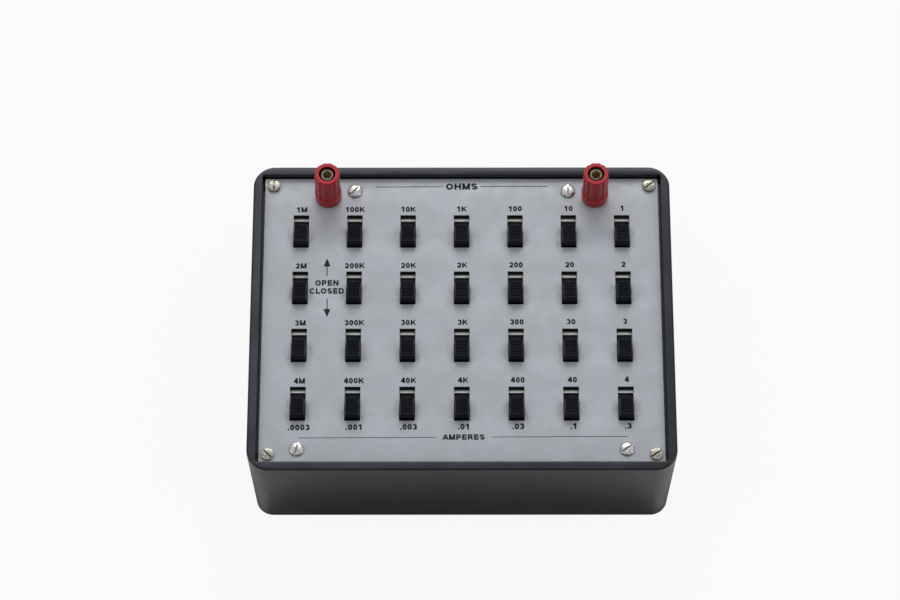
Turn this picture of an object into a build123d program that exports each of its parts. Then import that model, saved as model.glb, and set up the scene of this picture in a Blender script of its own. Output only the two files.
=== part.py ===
from build123d import *
import math
import os

# Resistance substitution box: a moulded case closed by a recessed metal panel. Behind the panel a
# circuit board carries one slide switch for each resistor, and each switch shorts its resistor
# while it is closed. Two binding posts are the terminals of the series chain.
# Millimetres. X runs along the rows of switches, Y away from the user, Z up. The origin is the
# centre of the footprint, on the plane that the feet stand on.

# Switch grid
column_values = ("1M", "100K", "10K", "1K", "100", "10", "1")
row_count = 4
column_pitch = 25.4
row_pitch = 30.16

# Panel
panel_side_margin = 17.62    # centre of an outer column to the panel's side edge
panel_back_margin = 28.46    # centre of the back row to the panel's back edge
panel_front_margin = 30.26   # centre of the front row to the panel's front edge
panel_thickness = 1.6
window_width = 7.27
window_length = 17.3

# Case
case_height = 57.2
case_draft = 2.28            # how far each wall leans in between rim and base
rim_width = 4.4
panel_gap_x = 1.1            # between the panel's side edges and the recess
panel_gap_y = 0.5
panel_drop = 3.2             # rim to the panel's face
case_corner_rim = 10.4       # corner radius, seen from above, at the rim
rim_edge = 0.5               # chamfers along the outer edges
base_edge = 0.5
floor_thickness = 3.6
ledge_width = 1.8            # step that carries the panel's edge
cavity_draft = 1.2           # how far the cavity narrows from the ledge to the floor
cavity_corner = 5.0
boss_radius = 5.0            # corner posts that hold the screw inserts
boss_root = 0.6              # how far a corner post runs into the wall

# Rubber feet
foot_radius = 6.3
foot_stand = 1.5             # how far a foot stands out below the base
foot_seat_depth = 1.0
foot_seat_gap = 0.2
foot_inset = 16.0            # foot centre to the side of the base

# Screws, inserts and spacers
screw_radius = 1.7
screw_clearance = 0.2        # holes that a screw passes freely
insert_clearance = 0.05      # screw in its threaded insert
slot_width = 0.9
slot_depth = 0.8
corner_screw_inset = 4.2     # screw centre to the panel's edges
corner_head_radius = 3.0
corner_head_height = 1.6
corner_head_crown = 0.35
corner_screw_length = 9.5    # below the panel
insert_hole_end = 1.0        # hole in the corner post beyond the screw's end
corner_slot_angles = (-45, 90, 35, 40)   # front left, back left, front right, back right
insert_flats = 5.6           # hexagonal, so that the moulding holds them from turning
insert_length = 9.0
insert_seat_gap = 0.02
board_head_radius = 3.4
board_head_height = 1.7
board_head_crown = 1.0
board_slot_angles = (75, 50, 35, 90)     # front left, back left, front right, back right
board_screw_back_inset = 6.9
board_screw_front_inset = 6.85
board_screw_end = 1.5        # thread left over below the nut
spacer_flats = 6.35
spacer_length = 7.94
nut_flats = 7.94
nut_height = 2.8

# Circuit board
board_thickness = 1.6
board_margin = 3.8           # screw centre to the board's front or back edge
board_boss_gap = 0.65        # board's side edge to the corner posts
notch_width = 13.8           # clears a binding post's nuts
notch_reach = 7.5            # post centre to the notch's closed end

# Switch frame and base
frame_gap = 0.6              # panel's underside to the top of a frame
frame_width = 11.0
frame_wall = 0.8
frame_skin = 0.9
base_thickness = 1.2
pin_pitch = 10.16
pin_width = 1.0
pin_thickness = 0.5
pin_rise = 0.6               # pin above the base, where the clip rubs
pin_hole_gap = 0.05

# Slider
knob_side_gap = 0.2          # each side of the knob in the panel's window
knob_front_gap = 0.7         # knob's foot to the window's front edge
knob_length = 9.4
knob_rise = 4.8              # knob's top above the panel
knob_side_taper = 0.4
knob_front_taper = 0.4
knob_back_taper = 0.9
travel = 4.8
opening_gap = 0.1            # each side of the knob in the frame's opening
stop_gap = 0.35              # knob to the opening's ends at its two stops
flange_thickness = 1.6
flange_front_lap = 0.8
flange_back_lap = 0.7
flange_side_gap = 0.2
flange_end_gap = 0.2
flange_top_gap = 0.1
ridge_count = 8
ridge_pitch = 0.94
ridge_depth = 0.5
ridge_crest = 0.4
ridge_side_rail = 0.35       # plain edge at each side of the ridges
clip_width = 3.0
clip_thickness = 0.4
clip_overhang = 0.5
clip_gap = 0.1               # clip to the pins that it rubs
clip_seat_gap = 0.05         # clip to the flange that carries it

# Resistors
resistor_length = 6.8
resistor_radius = 1.25
resistor_sides = 8
resistor_gap = 0.3           # board's underside to the body
lead_radius = 0.3
lead_sides = 4
pin_tail = 0.9               # pin below the lead that is soldered to it

# Binding posts
post_inset = 9.8             # post centre to the panel's back edge
post_height = 22.9           # cap's top above the panel
post_base_radius = 6.3
post_base_height = 2.8
post_base_foot = 6.0         # radius where the base meets the panel
post_base_edge = 0.4
post_hole_radius = 4.0
post_sleeve_gap = 0.1
post_sleeve_end_gap = 0.1    # sleeve's end to the inner washer
stud_radius = 3.15
stud_shank_radius = 2.4
stud_clearance = 0.05
stud_sink = 1.0              # stud's end below the cap's top
stud_end = 2.0               # shank left over below the last nut
stud_edge = 0.3
socket_radius = 2.05
socket_depth = 15.0
wire_hole_radius = 1.0
wire_hole_rise = 1.9         # wire hole above the base
cap_gap = 0.3                # cap to base when screwed down
cap_radius = 6.05
cap_skirt_radius = 6.35
cap_skirt_height = 3.0
cap_skirt_slope = 0.8
cap_edge = 0.5
cap_bore_gap = 0.8           # open ring between the stud and the cap's end
cap_thread_pitch = 0.907
cap_turns = 5
flute_count = 12
flute_radius = 1.6
flute_depth = 0.5
flute_end = 2.3              # point of a flute's tapered end above the cap's foot
bush_radius = 4.6
bush_length = 8.0
bush_rise = 5.4              # bush above the cap's foot
bush_seat_gap = 0.05
inner_washer_radius = 6.0
inner_washer_thickness = 1.6
post_nut_flats = 9.53
post_nut_height = 2.6
lug_radius = 4.4
lug_thickness = 0.6
lug_tail_width = 3.6
lug_tail_reach = 7.6         # post centre to the tail's end
wire_radius = 0.6
wire_sides = 6

# Levels, from the feet up
case_base_z = foot_stand
floor_z = case_base_z + floor_thickness
rim_z = case_base_z + case_height
panel_face_z = rim_z - panel_drop
ledge_z = panel_face_z - panel_thickness
board_top_z = ledge_z - spacer_length
board_bottom_z = board_top_z - board_thickness
base_top_z = board_top_z + base_thickness
pin_top_z = base_top_z + pin_rise
frame_top_z = ledge_z - frame_gap
frame_ceiling_z = frame_top_z - frame_skin
flange_top_z = frame_ceiling_z - flange_top_gap
flange_bottom_z = flange_top_z - flange_thickness
clip_bottom_z = pin_top_z + clip_gap
clip_top_z = flange_bottom_z - clip_seat_gap
knob_top_z = panel_face_z + knob_rise
resistor_z = board_bottom_z - resistor_gap - resistor_radius

# Panel, recess and case outlines
column_count = len(column_values)
panel_width = (column_count - 1) * column_pitch + 2 * panel_side_margin
panel_depth = (row_count - 1) * row_pitch + panel_back_margin + panel_front_margin
grid_y = (panel_front_margin - panel_back_margin) / 2
recess_width = panel_width + 2 * panel_gap_x
recess_depth = panel_depth + 2 * panel_gap_y
case_width = recess_width + 2 * rim_width
case_depth = recess_depth + 2 * rim_width
cavity_width = recess_width - 2 * ledge_width
cavity_depth = recess_depth - 2 * ledge_width

# Places of the fixings
corner_screw_x = panel_width / 2 - corner_screw_inset
corner_screw_y = panel_depth / 2 - corner_screw_inset
foot_x = case_width / 2 - case_draft - foot_inset
foot_y = case_depth / 2 - case_draft - foot_inset
board_back_y = panel_depth / 2 - board_screw_back_inset
board_front_y = board_screw_front_inset - panel_depth / 2
outer_column_x = (column_count - 1) / 2 * column_pitch
post_x = outer_column_x - column_pitch / 2
post_y = panel_depth / 2 - post_inset
corner_points = [(sx * corner_screw_x, sy * corner_screw_y) for sx in (-1, 1) for sy in (-1, 1)]
board_points = [
    (-outer_column_x, board_front_y),
    (column_pitch - outer_column_x, board_back_y),
    (outer_column_x, board_front_y),
    (outer_column_x - column_pitch, board_back_y),
]
post_points = [(-post_x, post_y), (post_x, post_y)]

# Circuit board outline
board_width = 2 * (corner_screw_x - boss_radius - board_boss_gap)
board_depth = board_back_y - board_front_y + 2 * board_margin
board_centre_y = (board_back_y + board_front_y) / 2

# One switch, along Y from the centre of its window
knob_width = window_width - 2 * knob_side_gap
knob_front = knob_front_gap - window_length / 2
knob_back = knob_front + knob_length
opening_width = knob_width + 2 * opening_gap
opening_front = knob_front - stop_gap
opening_back = knob_back + travel + stop_gap
flange_width = frame_width - 2 * frame_wall - 2 * flange_side_gap
flange_front = knob_front - flange_front_lap
flange_back = opening_back + flange_back_lap
cavity_front = flange_front - flange_end_gap
cavity_back = flange_back + travel + flange_end_gap
frame_front = cavity_front - frame_wall
frame_back = cavity_back + frame_wall
frame_length = frame_back - frame_front
frame_centre = (frame_front + frame_back) / 2
pin_offsets = (frame_centre - pin_pitch / 2, frame_centre + pin_pitch / 2)
switch_points = [
    ((column - (column_count - 1) / 2) * column_pitch,
     grid_y + ((row_count - 1) / 2 - row) * row_pitch)
    for row in range(row_count)
    for column in range(column_count)
]
frame_points = [(x, y + frame_centre) for x, y in switch_points]
pin_points = [(x, y + offset) for x, y in switch_points for offset in pin_offsets]

# Binding post levels
post_base_top_z = panel_face_z + post_base_height
cap_foot_z = post_base_top_z + cap_gap
cap_top_z = panel_face_z + post_height
stud_top_z = cap_top_z - stud_sink
bush_bottom_z = cap_foot_z + bush_rise
inner_washer_z = ledge_z - inner_washer_thickness
upper_nut_z = inner_washer_z - post_nut_height
lug_z = upper_nut_z - lug_thickness
lower_nut_z = lug_z - post_nut_height
stud_bottom_z = lower_nut_z - stud_end
sleeve_radius = post_hole_radius - post_sleeve_gap
shank_hole_radius = stud_shank_radius + stud_clearance
lug_tail_y = post_y - lug_tail_reach

# Jumper from a post's lug to the board: distance from the lug's end towards the user, and level
wire_route = [
    (0.0, lug_z + lug_thickness / 2),
    (7.0, lug_z + lug_thickness / 2 + 0.6),
    (13.2, lug_z + lug_thickness / 2 - 0.2),
    (15.6, board_bottom_z - 1.2),
]
wire_run_share = 0.45        # share of the shorter run that an arc uses
wire_hole_gap = 0.3

os.makedirs("parts", exist_ok=True)


def write(part, node):
    """Label a finished sub-part and write its STEP file."""
    part.label = node
    export_step(part, f"parts/{node}.step")


def upright(x, y):
    """Return the vertical drawing plane through a point: local Y is world Z."""
    return Plane(origin=(x, y, 0), x_dir=(1, 0, 0), z_dir=(0, -1, 0))


def upright_axis(x, y):
    """Return the vertical axis through a point."""
    return Axis((x, y, 0), (0, 0, 1))


def build_case():
    """Moulded case: drafted walls, recess and ledge for the panel, corner posts, foot seats."""
    with BuildPart() as case:
        with BuildSketch(Plane.XY.offset(rim_z)):
            RectangleRounded(case_width, case_depth, case_corner_rim)
        extrude(amount=-case_height, taper=math.degrees(math.atan(case_draft / case_height)))
        chamfer(case.edges().group_by(Axis.Z)[-1], rim_edge)
        chamfer(case.edges().group_by(Axis.Z)[0], base_edge)
        with BuildSketch(Plane.XY.offset(ledge_z)):
            Rectangle(recess_width, recess_depth)
        extrude(amount=rim_z - ledge_z, mode=Mode.SUBTRACT)
        with BuildSketch(Plane.XY.offset(ledge_z)):
            RectangleRounded(cavity_width, cavity_depth, cavity_corner)
        extrude(amount=floor_z - ledge_z, mode=Mode.SUBTRACT,
                taper=math.degrees(math.atan(cavity_draft / (ledge_z - floor_z))))
        # A corner post is round towards the cavity and runs square into both walls
        reach_x = cavity_width / 2 + boss_root - corner_screw_x
        reach_y = cavity_depth / 2 + boss_root - corner_screw_y
        with BuildSketch(Plane.XY.offset(floor_z)):
            for x, y in corner_points:
                side_x = math.copysign(1, x)
                side_y = math.copysign(1, y)
                with Locations((x, y)):
                    Circle(boss_radius)
                with Locations((x + side_x * reach_x / 2, y + side_y * (reach_y - boss_radius) / 2)):
                    Rectangle(reach_x, reach_y + boss_radius)
                with Locations((x + side_x * (reach_x - boss_radius) / 2, y + side_y * reach_y / 2)):
                    Rectangle(reach_x + boss_radius, reach_y)
        extrude(amount=ledge_z - floor_z)
        with BuildSketch(Plane.XY.offset(ledge_z)):
            with Locations(*corner_points):
                RegularPolygon(insert_flats / 2 + insert_seat_gap, 6, major_radius=False)
        extrude(amount=-(corner_screw_length + insert_hole_end), mode=Mode.SUBTRACT)
        with BuildSketch(Plane.XY.offset(case_base_z)):
            with GridLocations(2 * foot_x, 2 * foot_y, 2, 2):
                Circle(foot_radius + foot_seat_gap)
        extrude(amount=foot_seat_depth, mode=Mode.SUBTRACT)
    write(case.part, "case")


def build_feet():
    """Four round rubber feet, seated in the base."""
    with BuildPart() as feet:
        with BuildSketch():
            with GridLocations(2 * foot_x, 2 * foot_y, 2, 2):
                Circle(foot_radius)
        extrude(amount=foot_stand + foot_seat_depth)
    write(feet.part, "rubber_feet")


def build_panel():
    """Sheet metal panel with its windows and the holes for screws and posts."""
    with BuildPart() as panel:
        with BuildSketch(Plane.XY.offset(ledge_z)):
            Rectangle(panel_width, panel_depth)
            with Locations(*switch_points):
                Rectangle(window_width, window_length, mode=Mode.SUBTRACT)
            with Locations(*corner_points, *board_points):
                Circle(screw_radius + screw_clearance, mode=Mode.SUBTRACT)
            with Locations(*post_points):
                Circle(post_hole_radius, mode=Mode.SUBTRACT)
        extrude(amount=panel_thickness)
    write(panel.part, "panel")


def build_screws(node, points, angles, head_radius, head_height, crown, length):
    """Slotted screws, heads on the panel's face, each slot turned as it was left."""
    head_top = panel_face_z + head_height
    crown_radius = (head_radius ** 2 + crown ** 2) / (2 * crown)
    crown_middle = head_top - crown_radius + math.sqrt(crown_radius ** 2 - head_radius ** 2 / 4)
    with BuildPart() as screws:
        for (x, y), angle in zip(points, angles):
            with BuildSketch(upright(x, y)):
                with BuildLine():
                    Polyline((0, panel_face_z - length), (screw_radius, panel_face_z - length),
                             (screw_radius, panel_face_z), (head_radius, panel_face_z),
                             (head_radius, head_top - crown))
                    ThreePointArc((head_radius, head_top - crown), (head_radius / 2, crown_middle),
                                  (0, head_top))
                    Line((0, head_top), (0, panel_face_z - length))
                make_face()
            revolve(axis=upright_axis(x, y))
            with BuildSketch(Plane.XY.offset(head_top - slot_depth)):
                with Locations((x, y)):
                    Rectangle(3 * head_radius, slot_width, rotation=angle)
            extrude(amount=slot_depth, mode=Mode.SUBTRACT)
    write(screws.part, node)


def build_inner_washers():
    """Insulating washers between the panel and the nuts of the binding posts."""
    with BuildPart() as washers:
        with BuildSketch(Plane.XY.offset(inner_washer_z)):
            with Locations(*post_points):
                Circle(inner_washer_radius)
                Circle(shank_hole_radius, mode=Mode.SUBTRACT)
        extrude(amount=inner_washer_thickness)
    write(washers.part, "post_inner_washers")


def build_hexagons(node, points, flats, bore, bottoms, height):
    """Hexagon nuts, spacers or inserts at each point, one for each level in bottoms."""
    with BuildPart() as hexagons:
        for bottom in bottoms:
            with BuildSketch(Plane.XY.offset(bottom)):
                with Locations(*points):
                    RegularPolygon(flats / 2, 6, major_radius=False)
                    Circle(bore, mode=Mode.SUBTRACT)
            extrude(amount=height)
    write(hexagons.part, node)


def wire_reach(level):
    """Return how far from the lug a jumper's last run is when it passes a level."""
    (start, start_level), (end, end_level) = wire_route[-2:]
    return end + (start - end) * (level - end_level) / (start_level - end_level)


def build_board():
    """Circuit board with slots for the switch pins and a notch round each binding post."""
    with BuildPart() as board:
        with BuildSketch(Plane.XY.offset(board_bottom_z)):
            with Locations((0, board_centre_y)):
                Rectangle(board_width, board_depth)
            notch_front = post_y - notch_reach
            notch_back = board_centre_y + board_depth / 2
            wire_top = wire_reach(board_top_z)
            wire_bottom = wire_reach(board_bottom_z)
            for x, _ in post_points:
                with Locations((x, (notch_front + notch_back) / 2)):
                    Rectangle(notch_width, notch_back - notch_front, mode=Mode.SUBTRACT)
                with Locations((x, lug_tail_y - (wire_top + wire_bottom) / 2)):
                    Rectangle(2 * (wire_radius + wire_hole_gap),
                              wire_bottom - wire_top + 2 * (wire_radius + wire_hole_gap),
                              mode=Mode.SUBTRACT)
            with Locations(*pin_points):
                Rectangle(pin_width + 2 * pin_hole_gap, pin_thickness + 2 * pin_hole_gap,
                          mode=Mode.SUBTRACT)
            with Locations(*board_points):
                Circle(screw_radius + screw_clearance, mode=Mode.SUBTRACT)
        extrude(amount=board_thickness)
    write(board.part, "circuit_board")


def build_frames():
    """Switch frames: open boxes over the bases, each with an opening for its knob."""
    with BuildPart() as frames:
        with BuildSketch(Plane.XY.offset(base_top_z)):
            with Locations(*frame_points):
                Rectangle(frame_width, frame_length)
        extrude(amount=frame_top_z - base_top_z)
        with BuildSketch(Plane.XY.offset(base_top_z)):
            with Locations(*frame_points):
                Rectangle(frame_width - 2 * frame_wall, frame_length - 2 * frame_wall)
        extrude(amount=frame_ceiling_z - base_top_z, mode=Mode.SUBTRACT)
        with BuildSketch(Plane.XY.offset(frame_ceiling_z)):
            for x, y in switch_points:
                with Locations((x, y + (opening_front + opening_back) / 2)):
                    Rectangle(opening_width, opening_back - opening_front)
        extrude(amount=frame_skin, mode=Mode.SUBTRACT)
    write(frames.part, "switch_frames")


def build_bases():
    """Insulating plates that close the frames and hold the pins."""
    with BuildPart() as bases:
        with BuildSketch(Plane.XY.offset(board_top_z)):
            with Locations(*frame_points):
                Rectangle(frame_width, frame_length)
            with Locations(*pin_points):
                Rectangle(pin_width + 2 * pin_hole_gap, pin_thickness + 2 * pin_hole_gap,
                          mode=Mode.SUBTRACT)
        extrude(amount=base_thickness)
    write(bases.part, "switch_bases")


def build_pins():
    """Contact pins, from above the bases to below the board."""
    pin_bottom_z = resistor_z - lead_radius - pin_tail
    with BuildPart() as pins:
        with BuildSketch(Plane.XY.offset(pin_bottom_z)):
            with Locations(*pin_points):
                Rectangle(pin_width, pin_thickness)
        extrude(amount=pin_top_z - pin_bottom_z)
    write(pins.part, "switch_pins")


def build_resistors():
    """Resistors below the board, one across the pins of each switch, and their leads."""
    with BuildPart() as resistors:
        for x, y in frame_points:
            with BuildSketch(Plane(origin=(x, y, resistor_z), x_dir=(1, 0, 0), z_dir=(0, 1, 0))):
                RegularPolygon(resistor_radius, resistor_sides)
            extrude(amount=resistor_length / 2, both=True)
    write(resistors.part, "resistors")
    lead_start = resistor_length / 2
    lead_end = pin_pitch / 2 - pin_thickness / 2
    with BuildPart() as leads:
        for x, y in frame_points:
            for side in (-1, 1):
                start = Plane(origin=(x, y + side * lead_start, resistor_z),
                              x_dir=(1, 0, 0), z_dir=(0, side, 0))
                with BuildSketch(start):
                    RegularPolygon(lead_radius, lead_sides)
                extrude(amount=lead_end - lead_start)
    write(leads.part, "resistor_leads")


def ridge_outline(back, top_z):
    """Return the points of the ridged grip's cut, from above the knob down into its grooves."""
    points = [(back, top_z + ridge_depth), (back, top_z)]
    for ridge in range(ridge_count):
        crest_end = back - ridge * ridge_pitch
        valley = (ridge_pitch - ridge_crest) / 2
        points += [(crest_end - valley, top_z - ridge_depth), (crest_end - 2 * valley, top_z),
                   (crest_end - ridge_pitch, top_z)]
    return points + [(points[-1][0], top_z + ridge_depth)]


def build_slider(node, x, y):
    """Moulded slider with its ridged knob, and the spring clip that it carries."""
    top_front = knob_front + knob_front_taper
    top_back = knob_back - knob_back_taper
    side = knob_width / 2
    shoulder = flange_width / 2
    grip_back = (top_front + top_back + ridge_count * ridge_pitch) / 2 + y
    grip_width = knob_width - 2 * knob_side_taper - 2 * ridge_side_rail
    clip_front = y + pin_offsets[0] - clip_overhang
    clip_back = y + pin_offsets[1] + clip_overhang
    with BuildPart() as slider:
        with BuildSketch(Plane.YZ.offset(x)):
            with BuildLine():
                Polyline((y + flange_front, flange_bottom_z), (y + flange_front, flange_top_z),
                         (y + knob_front, flange_top_z), (y + knob_front, panel_face_z),
                         (y + top_front, knob_top_z), (y + top_back, knob_top_z),
                         (y + knob_back, panel_face_z), (y + knob_back, flange_top_z),
                         (y + flange_back, flange_top_z), (y + flange_back, flange_bottom_z),
                         close=True)
            make_face()
        extrude(amount=shoulder, both=True)
        with BuildSketch(upright(x, y)):
            for hand in (-1, 1):
                with BuildLine():
                    Polyline((hand * side, flange_top_z), (hand * side, panel_face_z),
                             (hand * (side - knob_side_taper), knob_top_z),
                             (hand * shoulder, knob_top_z), (hand * shoulder, flange_top_z),
                             close=True)
                make_face()
        extrude(amount=flange_back + knob_length, both=True, mode=Mode.SUBTRACT)
        with BuildSketch(Plane.YZ.offset(x - grip_width / 2)):
            with BuildLine():
                Polyline(*ridge_outline(grip_back, knob_top_z), close=True)
            make_face()
        extrude(amount=grip_width, mode=Mode.SUBTRACT)
        # The clip hangs below the flange as a flat strip with a foot over each pin
        with BuildSketch(Plane.YZ.offset(x - clip_width / 2)):
            with BuildLine():
                Polyline((clip_front, clip_bottom_z), (clip_front, clip_top_z),
                         (clip_back, clip_top_z), (clip_back, clip_bottom_z),
                         (clip_back - 2 * clip_overhang, clip_bottom_z),
                         (clip_back - 2 * clip_overhang, clip_top_z - clip_thickness),
                         (clip_front + 2 * clip_overhang, clip_top_z - clip_thickness),
                         (clip_front + 2 * clip_overhang, clip_bottom_z), close=True)
            make_face()
        extrude(amount=clip_width)
    write(slider.part, node)


def build_post_base(node, x, y):
    """Coloured insulating ring below the cap, with a sleeve in the panel's hole."""
    with BuildPart() as base:
        with BuildSketch(upright(x, y)):
            with BuildLine():
                Polyline((shank_hole_radius, ledge_z + post_sleeve_end_gap),
                         (sleeve_radius, ledge_z + post_sleeve_end_gap),
                         (sleeve_radius, panel_face_z), (post_base_foot, panel_face_z),
                         (post_base_radius, panel_face_z + post_base_height / 2),
                         (post_base_radius, post_base_top_z - post_base_edge),
                         (post_base_radius - post_base_edge, post_base_top_z),
                         (shank_hole_radius, post_base_top_z), close=True)
            make_face()
        revolve(axis=upright_axis(x, y))
    write(base.part, node)


def build_stud(node, x, y):
    """Metal stud: threaded shank, wider top with a plug socket, and a cross hole for bare wire."""
    with BuildPart() as stud:
        with BuildSketch(upright(x, y)):
            with BuildLine():
                Polyline((0, stud_bottom_z), (stud_shank_radius - stud_edge, stud_bottom_z),
                         (stud_shank_radius, stud_bottom_z + stud_edge),
                         (stud_shank_radius, post_base_top_z), (stud_radius, post_base_top_z),
                         (stud_radius, stud_top_z - stud_edge), (stud_radius - stud_edge, stud_top_z),
                         (socket_radius, stud_top_z), (socket_radius, stud_top_z - socket_depth),
                         (0, stud_top_z - socket_depth), close=True)
            make_face()
        revolve(axis=upright_axis(x, y))
        hole_z = post_base_top_z + wire_hole_rise
        with BuildSketch(Plane(origin=(x - 2 * stud_radius, y, hole_z), x_dir=(0, 1, 0),
                               z_dir=(1, 0, 0))):
            Circle(wire_hole_radius)
        extrude(amount=4 * stud_radius, mode=Mode.SUBTRACT)
    write(stud.part, node)


def build_bush(node, x, y):
    """Threaded brass bush inside the cap."""
    with BuildPart() as bush:
        with BuildSketch(Plane.XY.offset(bush_bottom_z)):
            with Locations((x, y)):
                Circle(bush_radius)
                Circle(stud_radius + stud_clearance, mode=Mode.SUBTRACT)
        extrude(amount=bush_length)
    write(bush.part, node)


def build_cap(node, x, y):
    """Fluted cap: straight body, wider skirt, flutes that run out in arches, a pocket for its bush."""
    bore = stud_radius + cap_bore_gap
    pocket = bush_radius + bush_seat_gap
    skirt_top_z = cap_foot_z + cap_skirt_height
    with BuildPart() as cap:
        with BuildSketch(upright(x, y)):
            with BuildLine():
                Polyline((bore, cap_foot_z), (cap_skirt_radius - cap_edge, cap_foot_z),
                         (cap_skirt_radius, cap_foot_z + cap_edge),
                         (cap_skirt_radius, skirt_top_z),
                         (cap_radius, skirt_top_z + cap_skirt_slope),
                         (cap_radius, cap_top_z - cap_edge), (cap_radius - cap_edge, cap_top_z),
                         (bore, cap_top_z),
                         (bore, bush_bottom_z + bush_length + bush_seat_gap),
                         (pocket, bush_bottom_z + bush_length + bush_seat_gap),
                         (pocket, bush_bottom_z - bush_seat_gap),
                         (bore, bush_bottom_z - bush_seat_gap), close=True)
            make_face()
        revolve(axis=upright_axis(x, y))
        flute_circle = cap_radius + flute_radius - flute_depth
        upward = (Align.CENTER, Align.CENTER, Align.MIN)
        with Locations((x, y, cap_foot_z + flute_end)):
            with PolarLocations(flute_circle, flute_count):
                Cone(0, flute_radius, flute_radius, align=upward, mode=Mode.SUBTRACT)
        with Locations((x, y, cap_foot_z + flute_end + flute_radius)):
            with PolarLocations(flute_circle, flute_count):
                Cylinder(flute_radius, cap_top_z - cap_foot_z, align=upward, mode=Mode.SUBTRACT)
    write(cap.part, node)


def build_lugs():
    """Solder lugs between the two nuts of each post."""
    with BuildPart() as lugs:
        with BuildSketch(Plane.XY.offset(lug_z)):
            for x, y in post_points:
                with Locations((x, y)):
                    Circle(lug_radius)
                with Locations((x, (y + lug_tail_y) / 2)):
                    Rectangle(lug_tail_width, y - lug_tail_y)
                with Locations((x, y)):
                    Circle(shank_hole_radius, mode=Mode.SUBTRACT)
        extrude(amount=lug_thickness)
    write(lugs.part, "post_lugs")


def arc_radii(points):
    """Return the radius of each corner of a wire's route, as large as its two runs allow."""
    radii = []
    for before, corner, after in zip(points, points[1:], points[2:]):
        arriving = Vector(*corner) - Vector(*before)
        leaving = Vector(*after) - Vector(*corner)
        half_turn = math.radians(arriving.get_angle(leaving)) / 2
        radii.append(wire_run_share * min(arriving.length, leaving.length) / math.tan(half_turn))
    return radii


def build_wires():
    """Jumper wires from the lugs to the circuit board."""
    with BuildPart() as wires:
        for x, _ in post_points:
            points = [(x, lug_tail_y - reach, level) for reach, level in wire_route]
            radii = arc_radii(points)
            with BuildLine() as route:
                FilletPolyline(*points, radius=radii)
            path = route.wires()[0]
            with BuildSketch(Plane(origin=path @ 0, z_dir=path % 0)):
                section = RegularPolygon(wire_radius, wire_sides)
            sweep(path=path)
    write(wires.part, "post_wires")
    print("wire radii", [round(radius, 2) for radius in radii])
    print("wire volume", round(wires.part.volume, 2), "section times length",
          round(len(post_points) * section.area * path.length, 2))


def slider_name(row, value):
    """Return the node name of one slider, from the value printed above its window."""
    digits = value.rstrip("MK")
    unit = value[len(digits):].lower()
    return f"slider_{digits.replace('1', str(row + 1), 1)}{unit}"


build_case()
build_feet()
build_panel()
build_screws("panel_screws", corner_points, corner_slot_angles, corner_head_radius,
             corner_head_height, corner_head_crown, panel_thickness + corner_screw_length)
build_hexagons("case_inserts", corner_points, insert_flats, screw_radius + insert_clearance,
               [ledge_z - insert_length], insert_length)
board_stack = panel_thickness + spacer_length + board_thickness + nut_height
build_screws("board_screws", board_points, board_slot_angles, board_head_radius,
             board_head_height, board_head_crown, board_stack + board_screw_end)
build_hexagons("board_spacers", board_points, spacer_flats, screw_radius + screw_clearance,
               [board_top_z], spacer_length)
build_hexagons("board_nuts", board_points, nut_flats, screw_radius + insert_clearance,
               [board_bottom_z - nut_height], nut_height)
build_board()
build_frames()
build_bases()
build_pins()
build_resistors()
for side, (x, y) in zip(("left", "right"), post_points):
    build_post_base(f"{side}_post_base", x, y)
    build_stud(f"{side}_post_stud", x, y)
    build_bush(f"{side}_post_bush", x, y)
    build_cap(f"{side}_post_cap", x, y)
build_inner_washers()
build_hexagons("post_nuts", post_points, post_nut_flats, shank_hole_radius,
               [upper_nut_z, lower_nut_z], post_nut_height)
build_lugs()
build_wires()
for index, (x, y) in enumerate(switch_points):
    row, column = divmod(index, column_count)
    build_slider(slider_name(row, column_values[column]), x, y)
print("cap lift", round(cap_turns * cap_thread_pitch, 3), "over turns", cap_turns)
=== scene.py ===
"""Looks of a resistance substitution box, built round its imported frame.

The box is a drafted black case with a recessed metal panel, slide switches behind windows in the
panel, and two red binding posts. Everything is in metres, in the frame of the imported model.
"""

import logging
import math
from dataclasses import dataclass
from enum import Enum
from typing import Callable, Optional, Sequence, Union

import bmesh
import bpy
from mathutils import Matrix, Vector

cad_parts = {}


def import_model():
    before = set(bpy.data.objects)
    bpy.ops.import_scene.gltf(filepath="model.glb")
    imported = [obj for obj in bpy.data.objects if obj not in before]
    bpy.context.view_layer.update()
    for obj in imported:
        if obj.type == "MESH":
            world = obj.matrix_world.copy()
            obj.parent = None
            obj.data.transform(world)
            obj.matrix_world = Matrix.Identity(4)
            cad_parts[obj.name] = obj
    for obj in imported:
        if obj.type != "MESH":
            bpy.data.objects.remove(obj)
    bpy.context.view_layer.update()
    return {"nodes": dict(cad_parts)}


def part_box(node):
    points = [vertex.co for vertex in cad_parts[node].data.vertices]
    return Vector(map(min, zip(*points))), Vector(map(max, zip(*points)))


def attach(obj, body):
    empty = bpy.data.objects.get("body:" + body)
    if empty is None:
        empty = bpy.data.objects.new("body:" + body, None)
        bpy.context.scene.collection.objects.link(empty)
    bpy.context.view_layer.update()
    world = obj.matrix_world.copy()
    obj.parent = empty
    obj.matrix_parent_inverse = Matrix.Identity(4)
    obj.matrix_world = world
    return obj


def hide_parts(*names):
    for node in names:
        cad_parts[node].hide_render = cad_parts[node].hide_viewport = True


MM = 0.001

Pair = tuple[float, float]
Triple = tuple[float, float, float]
Outline = list[Pair]
Stroke = tuple[Outline, bool]
Colour = tuple[float, float, float]
Socket = bpy.types.NodeSocket
Amount = Union[float, Socket]
Tint = Union[Colour, Socket]
RadiusRule = Callable[[float, float, float], float]

# Nearly all values of the cloudy noise lie between these two.
NOISE_BAND: Pair = (0.35, 0.7)

log = logging.getLogger("resistance_box")


class Row(Enum):
    """The four rows of switches, from the back, and the figure that each multiplies by."""

    BACK = 1
    SECOND = 2
    THIRD = 3
    FRONT = 4


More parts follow.
